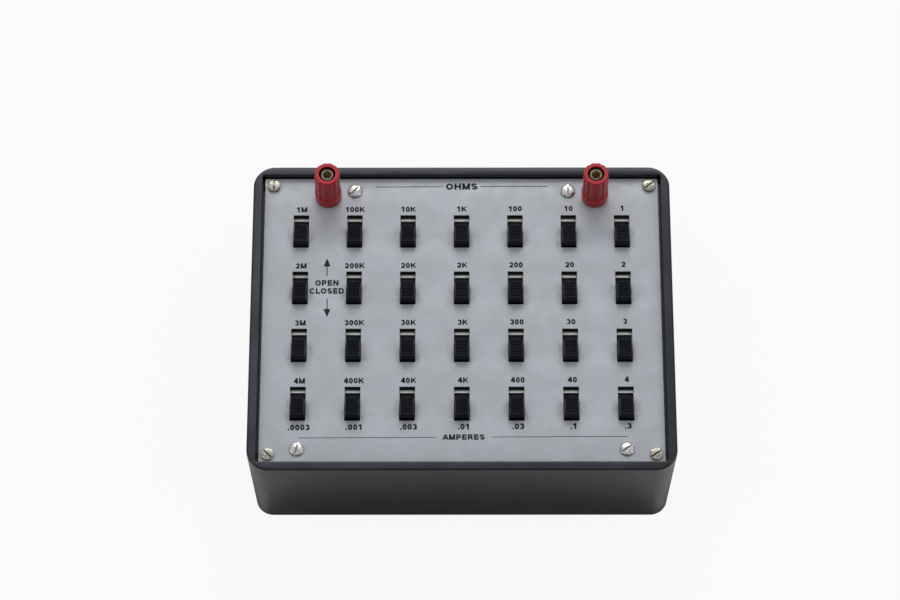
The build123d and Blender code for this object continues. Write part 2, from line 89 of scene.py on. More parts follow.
class Working(Enum):
    """How a second mesh is worked into a first."""

    CUT = "DIFFERENCE"
    ADD = "UNION"


@dataclass(frozen=True)
class SwitchGrid:
    """Where the switches stand: seven columns an inch apart, in four rows."""

    columns: int = 7
    column_pitch: float = 25.4 * MM
    row_pitch: float = 30.16 * MM
    middle_y: float = 0.9 * MM

    def column_places(self) -> list[float]:
        """Return the X of each column, from the left."""
        return [(index - (self.columns - 1) / 2) * self.column_pitch for index in range(self.columns)]

    def row_place(self, row: Row) -> float:
        """Return the Y of a row."""
        return self.middle_y + ((len(Row) + 1) / 2 - row.value) * self.row_pitch


GRID = SwitchGrid()


class Nodes:
    """Short calls for building one material's node tree."""

    def __init__(self, name: str) -> None:
        """Start a material with a plain principled shader.

        Args:
            name: the material's name.
        """
        self.material = bpy.data.materials.new(name)
        self.material.use_nodes = True
        self.tree = self.material.node_tree
        self.shader = self.tree.nodes["Principled BSDF"]
        self.place = self.add("ShaderNodeTexCoord").outputs["Object"]

    def add(self, kind: str) -> bpy.types.Node:
        """Add a node of a kind and return it."""
        return self.tree.nodes.new(kind)

    def link(self, source: Socket, target: Socket) -> None:
        """Join an output to an input."""
        self.tree.links.new(source, target)

    def put(self, value: Union[Amount, Tint], target: Socket) -> None:
        """Give an input a link, an opaque colour or a plain number, whichever the value is.

        Args:
            value: the socket, colour or number.
            target: the input.
        """
        if isinstance(value, Socket):
            self.link(value, target)
        elif isinstance(value, tuple):
            target.default_value = (*value, 1.0)
        else:
            target.default_value = value

    def plain(self, **values: float) -> None:
        """Set uniform values on the shader, with underscores for the spaces in socket names."""
        for name, value in values.items():
            self.shader.inputs[name.replace("_", " ")].default_value = value

    def math(self, operation: str, first: Amount, second: Amount = 0.0) -> Socket:
        """Return the result of a math node.

        Args:
            operation: Blender's name of the operation.
            first: its first value.
            second: its second value, where it has one.

        Returns:
            The result.
        """
        node = self.add("ShaderNodeMath")
        node.operation = operation
        self.put(first, node.inputs[0])
        self.put(second, node.inputs[1])
        return node.outputs[0]

    def product(self, first: Amount, *others: Amount) -> Socket:
        """Return several values multiplied together.

        Args:
            first: the first value.
            others: the values that it is multiplied by.

        Returns:
            The product.
        """
        result = first
        for other in others:
            result = self.math("MULTIPLY", result, other)
        return result

    def axis(self, letter: str) -> Socket:
        """Return one coordinate of the place."""
        node = self.add("ShaderNodeSeparateXYZ")
        self.link(self.place, node.inputs[0])
        return node.outputs[letter]

    def cell(self, letter: str, pitch: float, shift: float) -> Socket:
        """Return the signed distance along an axis to the nearest of evenly spaced places.

        Args:
            letter: the axis.
            pitch: distance between the places, in metres.
            shift: where one of them is.

        Returns:
            The distance, in metres.
        """
        turns = self.math("DIVIDE", self.math("SUBTRACT", self.axis(letter), shift), pitch)
        return self.product(self.math("SUBTRACT", turns, self.math("ROUND", turns)), pitch)

    def rise(self) -> Socket:
        """Return the upward part of the surface's direction, from 0 for upright walls to 1."""
        node = self.add("ShaderNodeSeparateXYZ")
        self.link(self.add("ShaderNodeNewGeometry").outputs["True Normal"], node.inputs[0])
        return node.outputs["Z"]

    def upward(self) -> Socket:
        """Return where the surface faces up, from 0 for upright walls to 1."""
        return self.span(self.rise(), 0.3, 0.8)

    def away_from(self, place: Pair) -> Socket:
        """Return the level distance from a place, the same on both sides of the middle plane.

        Args:
            place: X and Y of the place.

        Returns:
            The distance, in metres.
        """
        folded = self.add("ShaderNodeVectorMath")
        folded.operation = "ABSOLUTE"
        self.link(self.stretched((1.0, 1.0, 0.0)), folded.inputs[0])
        gap = self.add("ShaderNodeVectorMath")
        gap.operation = "DISTANCE"
        self.link(folded.outputs["Vector"], gap.inputs[0])
        gap.inputs[1].default_value = (abs(place[0]), abs(place[1]), 0.0)
        return gap.outputs["Value"]

    def stretched(self, scale: Triple) -> Socket:
        """Return the place multiplied along each axis.

        Args:
            scale: the factor along each axis.

        Returns:
            The multiplied place.
        """
        node = self.add("ShaderNodeMapping")
        self.link(self.place, node.inputs["Vector"])
        node.inputs["Scale"].default_value = scale
        return node.outputs["Vector"]

    def noise(self, size: float, detail: float = 3.0, place: Optional[Socket] = None) -> Socket:
        """Return cloudy noise.

        Args:
            size: width of its blotches, in metres.
            detail: octaves of finer noise.
            place: coordinates, or the object's own.

        Returns:
            The noise, from 0 to 1.
        """
        node = self.add("ShaderNodeTexNoise")
        self.link(place or self.place, node.inputs["Vector"])
        node.inputs["Scale"].default_value = 1 / size
        node.inputs["Detail"].default_value = detail
        return node.outputs["Fac"]

    def span(self, value: Amount, low: float, high: float, start: float = 0.0, end: float = 1.0) -> Socket:
        """Return a value moved smoothly from low..high to start..end.

        Args:
            value: the value.
            low: the value that becomes start.
            high: the value that becomes end.
            start: the result below the band.
            end: the result above the band.

        Returns:
            The moved value.
        """
        node = self.add("ShaderNodeMapRange")
        node.interpolation_type = "SMOOTHSTEP"
        for name, number in (("From Min", low), ("From Max", high), ("To Min", start), ("To Max", end)):
            node.inputs[name].default_value = number
        self.put(value, node.inputs["Value"])
        return node.outputs["Result"]

    def blend(self, share: Amount, first: Tint, second: Tint) -> Socket:
        """Return two colours mixed by a share.

        Args:
            share: the share of the second colour.
            first: the colour at 0.
            second: the colour at 1.

        Returns:
            The mixed colour.
        """
        node = self.add("ShaderNodeMix")
        node.data_type = "RGBA"
        self.put(share, node.inputs["Factor"])
        self.put(first, node.inputs[6])
        self.put(second, node.inputs[7])
        return node.outputs[2]

    def openness(self, reach: float) -> Socket:
        """Return how open a spot is to the air, from 0 deep in a corner to 1 in the clear.

        Args:
            reach: how far away other surfaces still count, in metres.

        Returns:
            The share that is open.
        """
        node = self.add("ShaderNodeAmbientOcclusion")
        node.samples = 8
        node.inputs["Distance"].default_value = reach
        return node.outputs["AO"]

    def dimmed(self, tint: Tint, reach: float, floor: float) -> Socket:
        """Return a colour with painted shade: darkened towards black in corners and slots.

        Args:
            tint: the colour, or a socket that gives it.
            reach: how far away other surfaces still count, in metres.
            floor: the share of the colour that stays in the deepest corner.

        Returns:
            The darkened colour.
        """
        closed, clear = 0.25, 0.9
        share = self.span(self.openness(reach), closed, clear, floor, 1.0)
        return self.blend(share, (0.0, 0.0, 0.0), tint)

    def relief(self, height: Socket, depth: float) -> None:
        """Raise the surface's shading by a height of a depth in metres.

        Args:
            height: the height, from 0 to 1.
            depth: the depth that 1 stands for.
        """
        node = self.add("ShaderNodeBump")
        node.inputs["Strength"].default_value = 1.0
        node.inputs["Distance"].default_value = depth
        self.link(height, node.inputs["Height"])
        self.link(node.outputs["Normal"], self.shader.inputs["Normal"])

    def colour(self, tint: Tint) -> None:
        """Set the base colour."""
        self.put(tint, self.shader.inputs["Base Color"])

    def roughness(self, value: Amount) -> None:
        """Set the roughness."""
        self.put(value, self.shader.inputs["Roughness"])


@dataclass(frozen=True)
class Moulded:
    """Moulded plastic: even colour with faint clouding, painted shade in its corners and flutes, and a
    slightly uneven gloss.
    """

    name: str
    tone: Colour
    faded: Colour
    gloss: float = 0.35
    unevenness: float = 0.1
    grain: float = 0.5 * MM
    relief: float = 0.01 * MM
    cloud_size: float = 14 * MM
    scuff_size: float = 5 * MM
    shine: float = 0.5
    corner_reach: float = 1.5 * MM
    corner_share: float = 0.35

    def build(self) -> bpy.types.Material:
        """Return the material.

        Returns:
            The material, with its nodes.
        """
        nodes = Nodes(self.name)
        nodes.plain(Specular_IOR_Level=self.shine)
        cloud = nodes.noise(self.cloud_size, 4.0)
        body = nodes.blend(nodes.span(cloud, *NOISE_BAND), self.tone, self.faded)
        # Painted shade: the colour is darkened in corners and flutes, where shade falls.
        nodes.colour(nodes.dimmed(body, self.corner_reach, self.corner_share))
        scuffs = nodes.noise(self.scuff_size, 6.0)
        nodes.roughness(nodes.span(scuffs, *NOISE_BAND, self.gloss, self.gloss + self.unevenness))
        nodes.relief(nodes.noise(self.grain, 2.0), self.relief)
        return nodes.material


@dataclass(frozen=True)
class CasePhenolic:
    """Black phenolic: polished moulding with flow marks, fine dust and hairline scratches, with painted light
    and shade: a bluish sky reflection on faces that look up, a lighter left side, near black recess walls and
    rim edges, and darker corners.
    """

    recess: Pair
    rim: float
    name: str = "black_phenolic"
    tone: Colour = (0.0165, 0.0167, 0.0098)
    cloud: Colour = (0.0215, 0.0217, 0.014)
    # Painted reflection: a darker, bluish colour for faces that look up, standing in for the sky's
    # reflection.
    bloom: Colour = (0.009, 0.0095, 0.0155)
    dust: Colour = (0.115, 0.12, 0.165)
    # Painted shade: near black colour for the recess walls and the rim's edges.
    raw: Colour = (0.003, 0.003, 0.003)
    gloss: float = 0.18
    shine: float = 0.42
    # Painted light: the film is raised towards the left, so that side looks lighter.
    film_side: float = 130 * MM
    film_lean: Pair = (0.16, -0.1)
    film_size: float = 22 * MM
    flow_size: float = 30 * MM
    speck_size: float = 0.7 * MM
    hair_size: float = 0.35 * MM
    hair_stretch: float = 0.06
    ripple_size: float = 2.5 * MM
    ripple_depth: float = 0.012 * MM
    corner_reach: float = 2.5 * MM
    corner_share: float = 0.1
    recess_fade: Pair = (0.1 * MM, 0.3 * MM)
    rim_fade: Pair = (0.6 * MM, 0.3 * MM)
    edge_start: Pair = (0.08, 0.25)
    edge_end: Pair = (0.9, 0.98)
    settled_share: float = 0.14
    speck_share: Pair = (0.1, 0.6)
    film_dulling: float = 0.13
    hair_dulling: float = 0.12

    def inner_share(self, nodes: Nodes) -> Socket:
        """Return where the wall lies inside the recess, which is painted near black as shade.

        Args:
            nodes: the material's nodes.

        Returns:
            The share, from 0 to 1.
        """
        near, far = self.recess_fade
        sides = [nodes.span(nodes.math("ABSOLUTE", nodes.axis(letter)), half + near, half + far, 1.0, 0.0)
                 for letter, half in zip("XY", self.recess)]
        low, high = self.rim_fade
        below = nodes.span(nodes.axis("Z"), self.rim - low, self.rim - high, 1.0, 0.0)
        return nodes.product(*sides, below)

    def edge_share(self, nodes: Nodes) -> Socket:
        """Return where the surface turns over an edge of the rim, painted darker than what it joins as shade.
        """
        rise = nodes.rise()
        return nodes.product(nodes.span(rise, *self.edge_start), nodes.span(rise, *self.edge_end, 1.0, 0.0))

    def film(self, nodes: Nodes) -> Socket:
        """Return the film of dust and handling, raised towards the box's left as painted light that lightens
        that side.
        """
        lean = nodes.span(nodes.axis("X"), -self.film_side, self.film_side, *self.film_lean)
        return nodes.math("ADD", nodes.noise(self.film_size, 3.0), lean)

    def dusty(self, nodes: Nodes, film: Socket) -> Socket:
        """Return the moulding's colour under settled dust and single specks, with a painted bluish sky
        reflection on faces that look up.

        Args:
            nodes: the material's nodes.
            film: the film of dust and handling.

        Returns:
            The colour.
        """
        flow = nodes.noise(self.flow_size, 5.0)
        plain = nodes.blend(nodes.span(flow, *NOISE_BAND), self.tone, self.cloud)
        # Painted reflection of the sky on faces that look up.
        body = nodes.blend(nodes.upward(), plain, self.bloom)
        settled = nodes.product(nodes.upward(), nodes.span(film, 0.4, 0.8, 0.0, self.settled_share))
        speck = nodes.noise(self.speck_size, 1.0)
        specks = nodes.product(nodes.span(speck, 0.69, 0.8), nodes.span(film, 0.4, 0.7, *self.speck_share))
        return nodes.blend(nodes.math("MAXIMUM", specks, settled), body, self.dust)

    def build(self) -> bpy.types.Material:
        """Return the material.

        Returns:
            The material, with its nodes.
        """
        nodes = Nodes(self.name)
        nodes.plain(Specular_IOR_Level=self.shine)
        film = self.film(nodes)
        # Painted shade in corners, then near black painted shade on the recess walls and rim edges.
        moulded = nodes.dimmed(self.dusty(nodes, film), self.corner_reach, self.corner_share)
        rim_shade_share = nodes.math("MAXIMUM", self.inner_share(nodes), self.edge_share(nodes))
        nodes.colour(nodes.blend(rim_shade_share, moulded, self.raw))
        hairs = nodes.noise(self.hair_size, 1.0, nodes.stretched((self.hair_stretch, 1.0, 1.0)))
        worn = nodes.math("ADD", nodes.span(film, 0.3, 0.75, self.gloss, self.gloss + self.film_dulling),
                          nodes.span(hairs, 0.68, 0.8, 0.0, self.hair_dulling))
        nodes.roughness(worn)
        nodes.relief(nodes.noise(self.ripple_size, 3.0), self.ripple_depth)
        return nodes.material


@dataclass(frozen=True)
class PanelSatin:
    """Satin silver panel: fine grain, finger smudges mixed with painted knob shade beside the knobs, chips at
    a corner, and painted shade on its side walls and round its holes.
    """

    name: str = "satin_silver"
    tone: Colour = (0.434, 0.441, 0.446)
    pale: Colour = (0.462, 0.477, 0.495)
    # Partly painted shade of the knobs, partly finger smudges.
    grime: Colour = (0.225, 0.225, 0.22)
    chip: Colour = (0.95, 0.95, 0.92)
    # Painted shade: near black colour on faces that do not look up, such as the windows' walls.
    cut: Colour = (0.012, 0.012, 0.012)
    gloss: float = 0.42
    metallic: float = 0.25
    corner: Pair = (-92.6 * MM, 73.6 * MM)
    chipped: Pair = (1.5 * MM, 4.5 * MM)
    chip_size: float = 0.9 * MM
    knob_middle: float = -4.0 * MM
    grime_side: Pair = (3.9 * MM, 7.5 * MM)
    grime_level: Pair = (2.5 * MM, 8.0 * MM)
    grime_rows: Pair = (1.9, 1.95)
    smear_size: float = 2.2 * MM
    smear_stretch: float = 0.35
    cloud_size: float = 18 * MM
    sheen_size: float = 6 * MM
    grain_size: float = 0.42 * MM
    grain_depth: float = 0.02 * MM
    pit_shade: float = 0.76
    pit_share: float = 0.65
    unevenness: float = 0.14
    # Painted shade round the holes, windows and edges.
    hole_reach: float = 0.6 * MM
    hole_share: float = 0.8

    def grime_share(self, nodes: Nodes) -> Socket:
        """Return where fingers have left smudges and where the knobs' shade is painted: both sides of each
        knob, broken up by noise.

        Args:
            nodes: the material's nodes.

        Returns:
            The share, from 0 to 1.
        """
        across = nodes.math("ABSOLUTE", nodes.cell("X", GRID.column_pitch, 0.0))
        along = nodes.cell("Y", GRID.row_pitch, GRID.row_place(Row.SECOND))
        down = nodes.math("ABSOLUTE", nodes.math("SUBTRACT", along, self.knob_middle))
        side = nodes.span(across, *self.grime_side, 1.0, 0.0)
        level = nodes.span(down, *self.grime_level, 1.0, 0.0)
        depth = nodes.math("ABSOLUTE", nodes.math("SUBTRACT", nodes.axis("Y"), GRID.middle_y))
        start, end = self.grime_rows
        used = nodes.span(depth, start * GRID.row_pitch, end * GRID.row_pitch, 1.0, 0.0)
        smears = nodes.noise(self.smear_size, 3.0, nodes.stretched((1.0, self.smear_stretch, 1.0)))
        return nodes.product(side, level, used, nodes.span(smears, 0.35, 0.72, 0.05, 0.8))

    def chip_share(self, nodes: Nodes) -> Socket:
        """Return the small chips round the back left screw.

        Args:
            nodes: the material's nodes.

        Returns:
            The share, from 0 to 1.
        """
        near = nodes.span(nodes.away_from(self.corner), *self.chipped, 1.0, 0.0)
        chips = nodes.span(nodes.noise(self.chip_size, 4.0), 0.48, 0.54)
        left = nodes.span(nodes.axis("X"), -1 * MM, 1 * MM, 1.0, 0.0)
        back = nodes.span(nodes.axis("Y"), -1 * MM, 1 * MM)
        return nodes.product(near, chips, left, back)

    def build(self) -> bpy.types.Material:
        """Return the material.

        Returns:
            The material, with its nodes.
        """
        nodes = Nodes(self.name)
        nodes.plain(Metallic=self.metallic)
        cloud = nodes.span(nodes.noise(self.cloud_size, 5.0), 0.35, 0.65)
        grain = nodes.noise(self.grain_size, 2.0)
        body = nodes.blend(cloud, self.tone, self.pale)
        pits = tuple(channel * self.pit_shade for channel in self.tone)
        mottled = nodes.blend(nodes.span(grain, *NOISE_BAND, 0.0, self.pit_share), body, pits)
        # Painted knob shade mixed with finger smudges.
        soiled = nodes.blend(self.grime_share(nodes), mottled, self.grime)
        worn = nodes.blend(self.chip_share(nodes), soiled, self.chip)
        # Painted shade round holes and windows, then near black painted shade on faces that do not look up.
        face = nodes.dimmed(worn, self.hole_reach, self.hole_share)
        nodes.colour(nodes.blend(nodes.upward(), self.cut, face))
        sheen = nodes.noise(self.sheen_size, 5.0)
        nodes.roughness(nodes.span(sheen, 0.3, 0.7, self.gloss, self.gloss + self.unevenness))
        nodes.relief(grain, self.grain_depth)
        return nodes.material


@dataclass(frozen=True)
class Ink:
    """Printed ink: dark blue grey, matt, slightly worn through."""

    name: str = "legend_ink"
    tone: Colour = (0.007, 0.0075, 0.013)
    worn: Colour = (0.022, 0.024, 0.034)
    wear_size: float = 1.2 * MM
    gloss: float = 0.5
    shine: float = 0.2

    def build(self) -> bpy.types.Material:
        """Return the material.

        Returns:
            The material, with its nodes.
        """
        nodes = Nodes(self.name)
        nodes.plain(Specular_IOR_Level=self.shine)
        wear = nodes.span(nodes.noise(self.wear_size, 4.0), 0.45, 0.75)
        nodes.colour(nodes.blend(wear, self.tone, self.worn))
        nodes.roughness(self.gloss)
        return nodes.material


@dataclass(frozen=True)
class Plated:
    """Plated or bare metal: uneven tarnish, fine turning marks, dulled patches and painted shade in slots and
    corners.
    """

    name: str
    tone: Colour
    tarnish: Colour
    gloss: float = 0.28
    patch: float = 1.5 * MM
    marks: float = 0.12 * MM
    mark_depth: float = 0.006 * MM
    dulling: float = 0.25
    metallic: float = 1.0
    corner_reach: float = 1.2 * MM
    corner_share: float = 0.05

    def body(self, nodes: Nodes, patches: Socket) -> Socket:
        """Return the metal's colour: bright plate with tarnished patches, painted darker in corners and slots
        as shade.
        """
        plate = nodes.blend(nodes.span(patches, 0.4, 0.72), self.tone, self.tarnish)
        return nodes.dimmed(plate, self.corner_reach, self.corner_share)

    def build(self) -> bpy.types.Material:
        """Return the material.

        Returns:
            The material, with its nodes.
        """
        nodes = Nodes(self.name)
        nodes.plain(Metallic=self.metallic)
        patches = nodes.noise(self.patch, 5.0)
        nodes.colour(self.body(nodes, patches))
        nodes.roughness(nodes.span(patches, 0.3, 0.75, self.gloss, self.gloss + self.dulling))
        nodes.relief(nodes.noise(self.marks, 2.0), self.mark_depth)
        return nodes.material


@dataclass(frozen=True)
class SocketPlate(Plated):
    """The stud's metal: dull plate outside, and bare brass inside the plug socket."""

    axis: Pair = (0.0, 0.0)
    bore: float = 2.05 * MM
    bore_fade: float = 0.15 * MM
    brass: Colour = (0.75, 0.64, 0.38)

    def body(self, nodes: Nodes, patches: Socket) -> Socket:
        """Return the metal's colour, brass within the bore's radius."""
        inside = nodes.span(nodes.away_from(self.axis), self.bore, self.bore + self.bore_fade, 1.0, 0.0)
        return nodes.blend(inside, super().body(nodes, patches), self.brass)


@dataclass(frozen=True)
class FramePlate(Plated):
    """The switch frames' metal: plated, with the panel's shadow painted dark over its back edge."""

    clean: float = 6.7 * MM
    soiled: float = 8.3 * MM
    # Painted shadow cast by the panel's edge.
    dirt: Colour = (0.004, 0.004, 0.0035)

    def body(self, nodes: Nodes, patches: Socket) -> Socket:
        """Return the metal's colour, with painted shadow towards the window's ends."""
        along = nodes.math("ABSOLUTE", nodes.cell("Y", GRID.row_pitch, GRID.row_place(Row.SECOND)))
        share = nodes.product(nodes.span(along, self.clean, self.soiled), nodes.upward())
        return nodes.blend(share, super().body(nodes, patches), self.dirt)


@dataclass(frozen=True)
class Laminate:
    """Circuit board or phenolic sheet: woven or speckled body under a thin gloss."""

    name: str
    tone: Colour
    thread: Colour
    weave: float = 0.6 * MM
    weave_depth: float = 0.01 * MM
    sheen_size: float = 9 * MM

    def build(self) -> bpy.types.Material:
        """Return the material.

        Returns:
            The material, with its nodes.
        """
        nodes = Nodes(self.name)
        waves = [nodes.math("SINE", nodes.product(nodes.axis(letter), math.tau / self.weave))
                 for letter in "XY"]
        cloth = nodes.span(nodes.product(*waves), -0.6, 0.9, 0.0, 0.5)
        nodes.colour(nodes.blend(cloth, self.tone, self.thread))
        nodes.roughness(nodes.span(nodes.noise(self.sheen_size), 0.3, 0.7, 0.35, 0.5))
        nodes.relief(cloth, self.weave_depth)
        return nodes.material


@dataclass(frozen=True)
class StudioFloor:
    """White paper floor that shows as near white, and is shaded near the box in its reflections."""

    name: str = "paper_floor"
    tone: Colour = (0.8, 0.8, 0.8)
    shown: Colour = (0.985, 0.985, 0.985)
    seen_share: float = 0.93
    mirrored_share: float = 0.7
    shadow_reach: float = 120 * MM
    shadow_band: Pair = (0.57, 0.95)
    shadow_glow: float = 0.02
    fibre_size: float = 3 * MM
    fibre_shade: float = 0.98

    def build(self) -> bpy.types.Material:
        """Return the material.

        Returns:
            The material, with its nodes.
        """
        nodes = Nodes(self.name)
        shaded = tuple(channel * self.fibre_shade for channel in self.tone)
        nodes.colour(nodes.blend(nodes.noise(self.fibre_size), self.tone, shaded))
        nodes.roughness(0.9)
        glow = nodes.add("ShaderNodeEmission")
        nodes.put(self.shown, glow.inputs["Color"])
        path = nodes.add("ShaderNodeLightPath")
        open_air = nodes.span(nodes.openness(self.shadow_reach), *self.shadow_band, self.shadow_glow, 1.0)
        nodes.link(nodes.math("MAXIMUM", path.outputs["Is Camera Ray"], open_air), glow.inputs["Strength"])
        mirrored = nodes.math("MAXIMUM", path.outputs["Is Glossy Ray"], path.outputs["Is Transmission Ray"])
        share = nodes.math("ADD", nodes.product(path.outputs["Is Camera Ray"], self.seen_share),
                           nodes.product(mirrored, self.mirrored_share))
        both = nodes.add("ShaderNodeMixShader")
        nodes.link(share, both.inputs["Fac"])
        nodes.link(nodes.shader.outputs["BSDF"], both.inputs[1])
        nodes.link(glow.outputs["Emission"], both.inputs[2])
        nodes.link(both.outputs["Shader"], nodes.tree.nodes["Material Output"].inputs["Surface"])
        return nodes.material


Finish = Union[Moulded, CasePhenolic, PanelSatin, Ink, Plated, Laminate, StudioFloor]


def placed(name: str, data: bpy.types.ID) -> bpy.types.Object:
    """Add an object of some data to the scene and return it."""
    made = bpy.data.objects.new(name, data)
    bpy.context.scene.collection.objects.link(made)
    return made


def soften(target: bpy.types.Object, width: float, angle: float) -> None:
    """Round the edges of an object where they turn by more than an angle in degrees.

    Args:
        target: the object, which gets a modifier.
        width: width of the rounding, in metres.
        angle: the least angle, in degrees.
    """
    bevel = target.modifiers.new("soft_edges", "BEVEL")
    bevel.width = width
    bevel.segments = 2
    bevel.limit_method = "ANGLE"
    bevel.angle_limit = math.radians(angle)


class Workshop:
    """Turns meshes into pieces of the scene, and keeps one copy of each material."""

    def __init__(self) -> None:
        """Start with no materials."""
        self.materials: dict[str, bpy.types.Material] = {}

    def finish_of(self, finish: Finish) -> bpy.types.Material:
        """Return the material of a finish, building it the first time."""
        if finish.name not in self.materials:
            self.materials[finish.name] = finish.build()
        return self.materials[finish.name]

    def piece(self, name: str, mesh: bpy.types.Mesh, finish: Finish, body: str, slot: str,
              smooth: Optional[float] = 35.0) -> bpy.types.Object:
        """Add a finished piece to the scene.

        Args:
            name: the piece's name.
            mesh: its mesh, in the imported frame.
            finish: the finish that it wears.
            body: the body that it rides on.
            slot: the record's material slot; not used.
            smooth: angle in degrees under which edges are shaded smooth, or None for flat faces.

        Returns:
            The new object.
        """
        made = placed(name, mesh)
        mesh.materials.clear()
        mesh.materials.append(self.finish_of(finish))
        if smooth is not None:
            mesh.polygons.foreach_set("use_smooth", [True] * len(mesh.polygons))
            mesh.set_sharp_from_angle(angle=math.radians(smooth))
        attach(made, body)
        log.info("piece %s: %d faces on %s", name, len(mesh.polygons), body)
        return made

    def dress(self, node: bpy.types.Object, finish: Finish, edge: float = 0.0) -> None:
        """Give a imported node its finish, and round its edges a little.

        Args:
            node: the node's object.
            finish: the finish that it wears.
            edge: width of the rounded edges in metres, or 0 for none.
        """
        node.material_slots[0].material = self.finish_of(finish)
        if edge > 0:
            weld = node.modifiers.new("joined_corners", "WELD")
            weld.merge_threshold = 0.001 * MM
            soften(node, edge, 30)
        log.info("node %s: dressed in %s", node.name, finish.name)


def rounded(outline: Outline, radius: float) -> Outline:
    """Round the inner corners of an open outline, apart from those that hardly turn.

    Args:
        outline: points as radius and height.
        radius: radius of each corner, made smaller where a run is short.

    Returns:
        The outline with arcs in place of its corners.
    """
    steps, least_turn, most_of_run = 4, math.radians(8), 0.45
    points = [Vector(point) for point in outline]
    result = [outline[0]]
    for before, corner, after in zip(points, points[1:], points[2:]):
        arriving, leaving = (corner - before), (after - corner)
        turn = arriving.angle(leaving)
        if turn < least_turn:
            result.append(tuple(corner))
            continue
        cut = min(radius * math.tan(turn / 2), most_of_run * min(arriving.length, leaving.length))
        start = corner - arriving.normalized() * cut
        end = corner + leaving.normalized() * cut
        for step in range(steps + 1):
            share = step / steps
            first = start.lerp(corner, share)
            second = corner.lerp(end, share)
            result.append(tuple(first.lerp(second, share)))
    result.append(outline[-1])
    return result


def divided(outline: Outline, longest: float) -> Outline:
    """Split an outline's runs so that none is longer than a length.

    Args:
        outline: points as radius and height.
        longest: the greatest length of a run.

    Returns:
        The outline with points added.
    """
    result = [outline[0]]
    for (start_r, start_z), (end_r, end_z) in zip(outline, outline[1:]):
        parts = max(1, math.ceil(math.hypot(end_r - start_r, end_z - start_z) / longest))
        for part in range(1, parts + 1):
            share = part / parts
            result.append((start_r + (end_r - start_r) * share, start_z + (end_z - start_z) * share))
    return result


def finished(name: str, work: bmesh.types.BMesh) -> bpy.types.Mesh:
    """Return the mesh of a construction, and end the construction.

    Args:
        name: the mesh's name.
        work: the construction, which is freed.

    Returns:
        The mesh.
    """
    mesh = bpy.data.meshes.new(name)
    work.to_mesh(mesh)
    work.free()
    return mesh


def thicken(work: bmesh.types.BMesh, height: float) -> None:
    """Extrude all of a flat construction by a height, down where it is negative.

    Args:
        work: the construction, with its faces in one plane.
        height: how far it is extruded, in metres.
    """
    grown = bmesh.ops.extrude_face_region(work, geom=list(work.faces))
    moved = [item for item in grown["geom"] if isinstance(item, bmesh.types.BMVert)]
    bmesh.ops.translate(work, verts=moved, vec=(0, 0, height))
    bmesh.ops.recalc_face_normals(work, faces=work.faces)


def revolved(name: str, outline: Outline, centre: Pair, segments: int = 64,
             rule: Optional[RadiusRule] = None, ring: bool = False) -> bpy.types.Mesh:
    """Turn an outline about an upright axis.

    Args:
        name: the mesh's name.
        outline: points as radius and height, in order round the section.
        centre: the axis's X and Y.
        segments: steps round the axis.
        rule: a function of radius, height and angle that returns the radius to use.
        ring: whether the outline closes on itself, as a tube's does.

    Returns:
        A closed mesh.
    """
    work = bmesh.new()
    rows = []
    for radius, height in outline:
        if radius <= 0:
            rows.append([work.verts.new((centre[0], centre[1], height))])
            continue
        row = []
        for step in range(segments):
            angle = math.tau * step / segments
            reach = rule(radius, height, angle) if rule else radius
            row.append(work.verts.new((centre[0] + reach * math.cos(angle),
                                       centre[1] + reach * math.sin(angle), height)))
        rows.append(row)
    pairs = list(zip(rows, rows[1:]))
    if ring:
        pairs.append((rows[-1], rows[0]))
    for lower, upper in pairs:
        for step in range(segments):
            after = (step + 1) % segments
            if len(lower) == 1 and len(upper) == 1:
                continue
            if len(lower) == 1:
                work.faces.new((lower[0], upper[after], upper[step]))
            elif len(upper) == 1:
                work.faces.new((lower[step], lower[after], upper[0]))
            else:
                work.faces.new((lower[step], lower[after], upper[after], upper[step]))
    bmesh.ops.recalc_face_normals(work, faces=work.faces)
    return finished(name, work)


def rod(name: str, centre: Pair, radius: float, bottom: float, top: float, sides: int) -> bpy.types.Mesh:
    """Return an upright rod with a number of sides, between two heights."""
    return revolved(name, [(0, bottom), (radius, bottom), (radius, top), (0, top)], centre, sides)


def quarter_round(steps: int) -> list[Pair]:
    """Return the points of a quarter circle of radius one, from the right of its middle to above it.

    Args:
        steps: how many runs it has.

    Returns:
        For each point, how far it is from the right side and from the top of the whole circle.
    """
    angles = [math.radians(90) * step / steps for step in range(steps + 1)]
    return [(1 - math.cos(angle), 1 - math.sin(angle)) for angle in angles]


def corner_loop(half_x: float, half_y: float, radius: float, height: float,
                steps: int) -> list[Vector]:
    """Return the points of a rounded rectangle at a height, with the same steps in each corner.

    Args:
        half_x: half its width.
        half_y: half its depth.
        radius: radius of its corners.
        height: the height at which it lies.
        steps: runs round each corner.

    Returns:
        The points, in order round the loop.
    """
    points = []
    for quarter, (side_x, side_y) in enumerate(((1, 1), (-1, 1), (-1, -1), (1, -1))):
        middle = Vector((side_x * (half_x - radius), side_y * (half_y - radius), height))
        for step in range(steps + 1):
            angle = math.radians(90) * (quarter + step / steps)
            points.append(middle + Vector((math.cos(angle), math.sin(angle), 0)) * radius)
    return points


def lofted(name: str, loops: Sequence[list[Vector]]) -> bpy.types.Mesh:
    """Join loops of equal length by bands of faces and close the two ends.

    Args:
        name: the mesh's name.
        loops: the loops, in order along the surface.

    Returns:
        A closed mesh.
    """
    work = bmesh.new()
    rows = [[work.verts.new(point) for point in loop] for loop in loops]
    for lower, upper in zip(rows, rows[1:]):
        for step in range(len(lower)):
            after = (step + 1) % len(lower)
            work.faces.new((lower[step], lower[after], upper[after], upper[step]))
    work.faces.new(list(reversed(rows[0])))
    work.faces.new(rows[-1])
    bmesh.ops.recalc_face_normals(work, faces=work.faces)
    return finished(name, work)


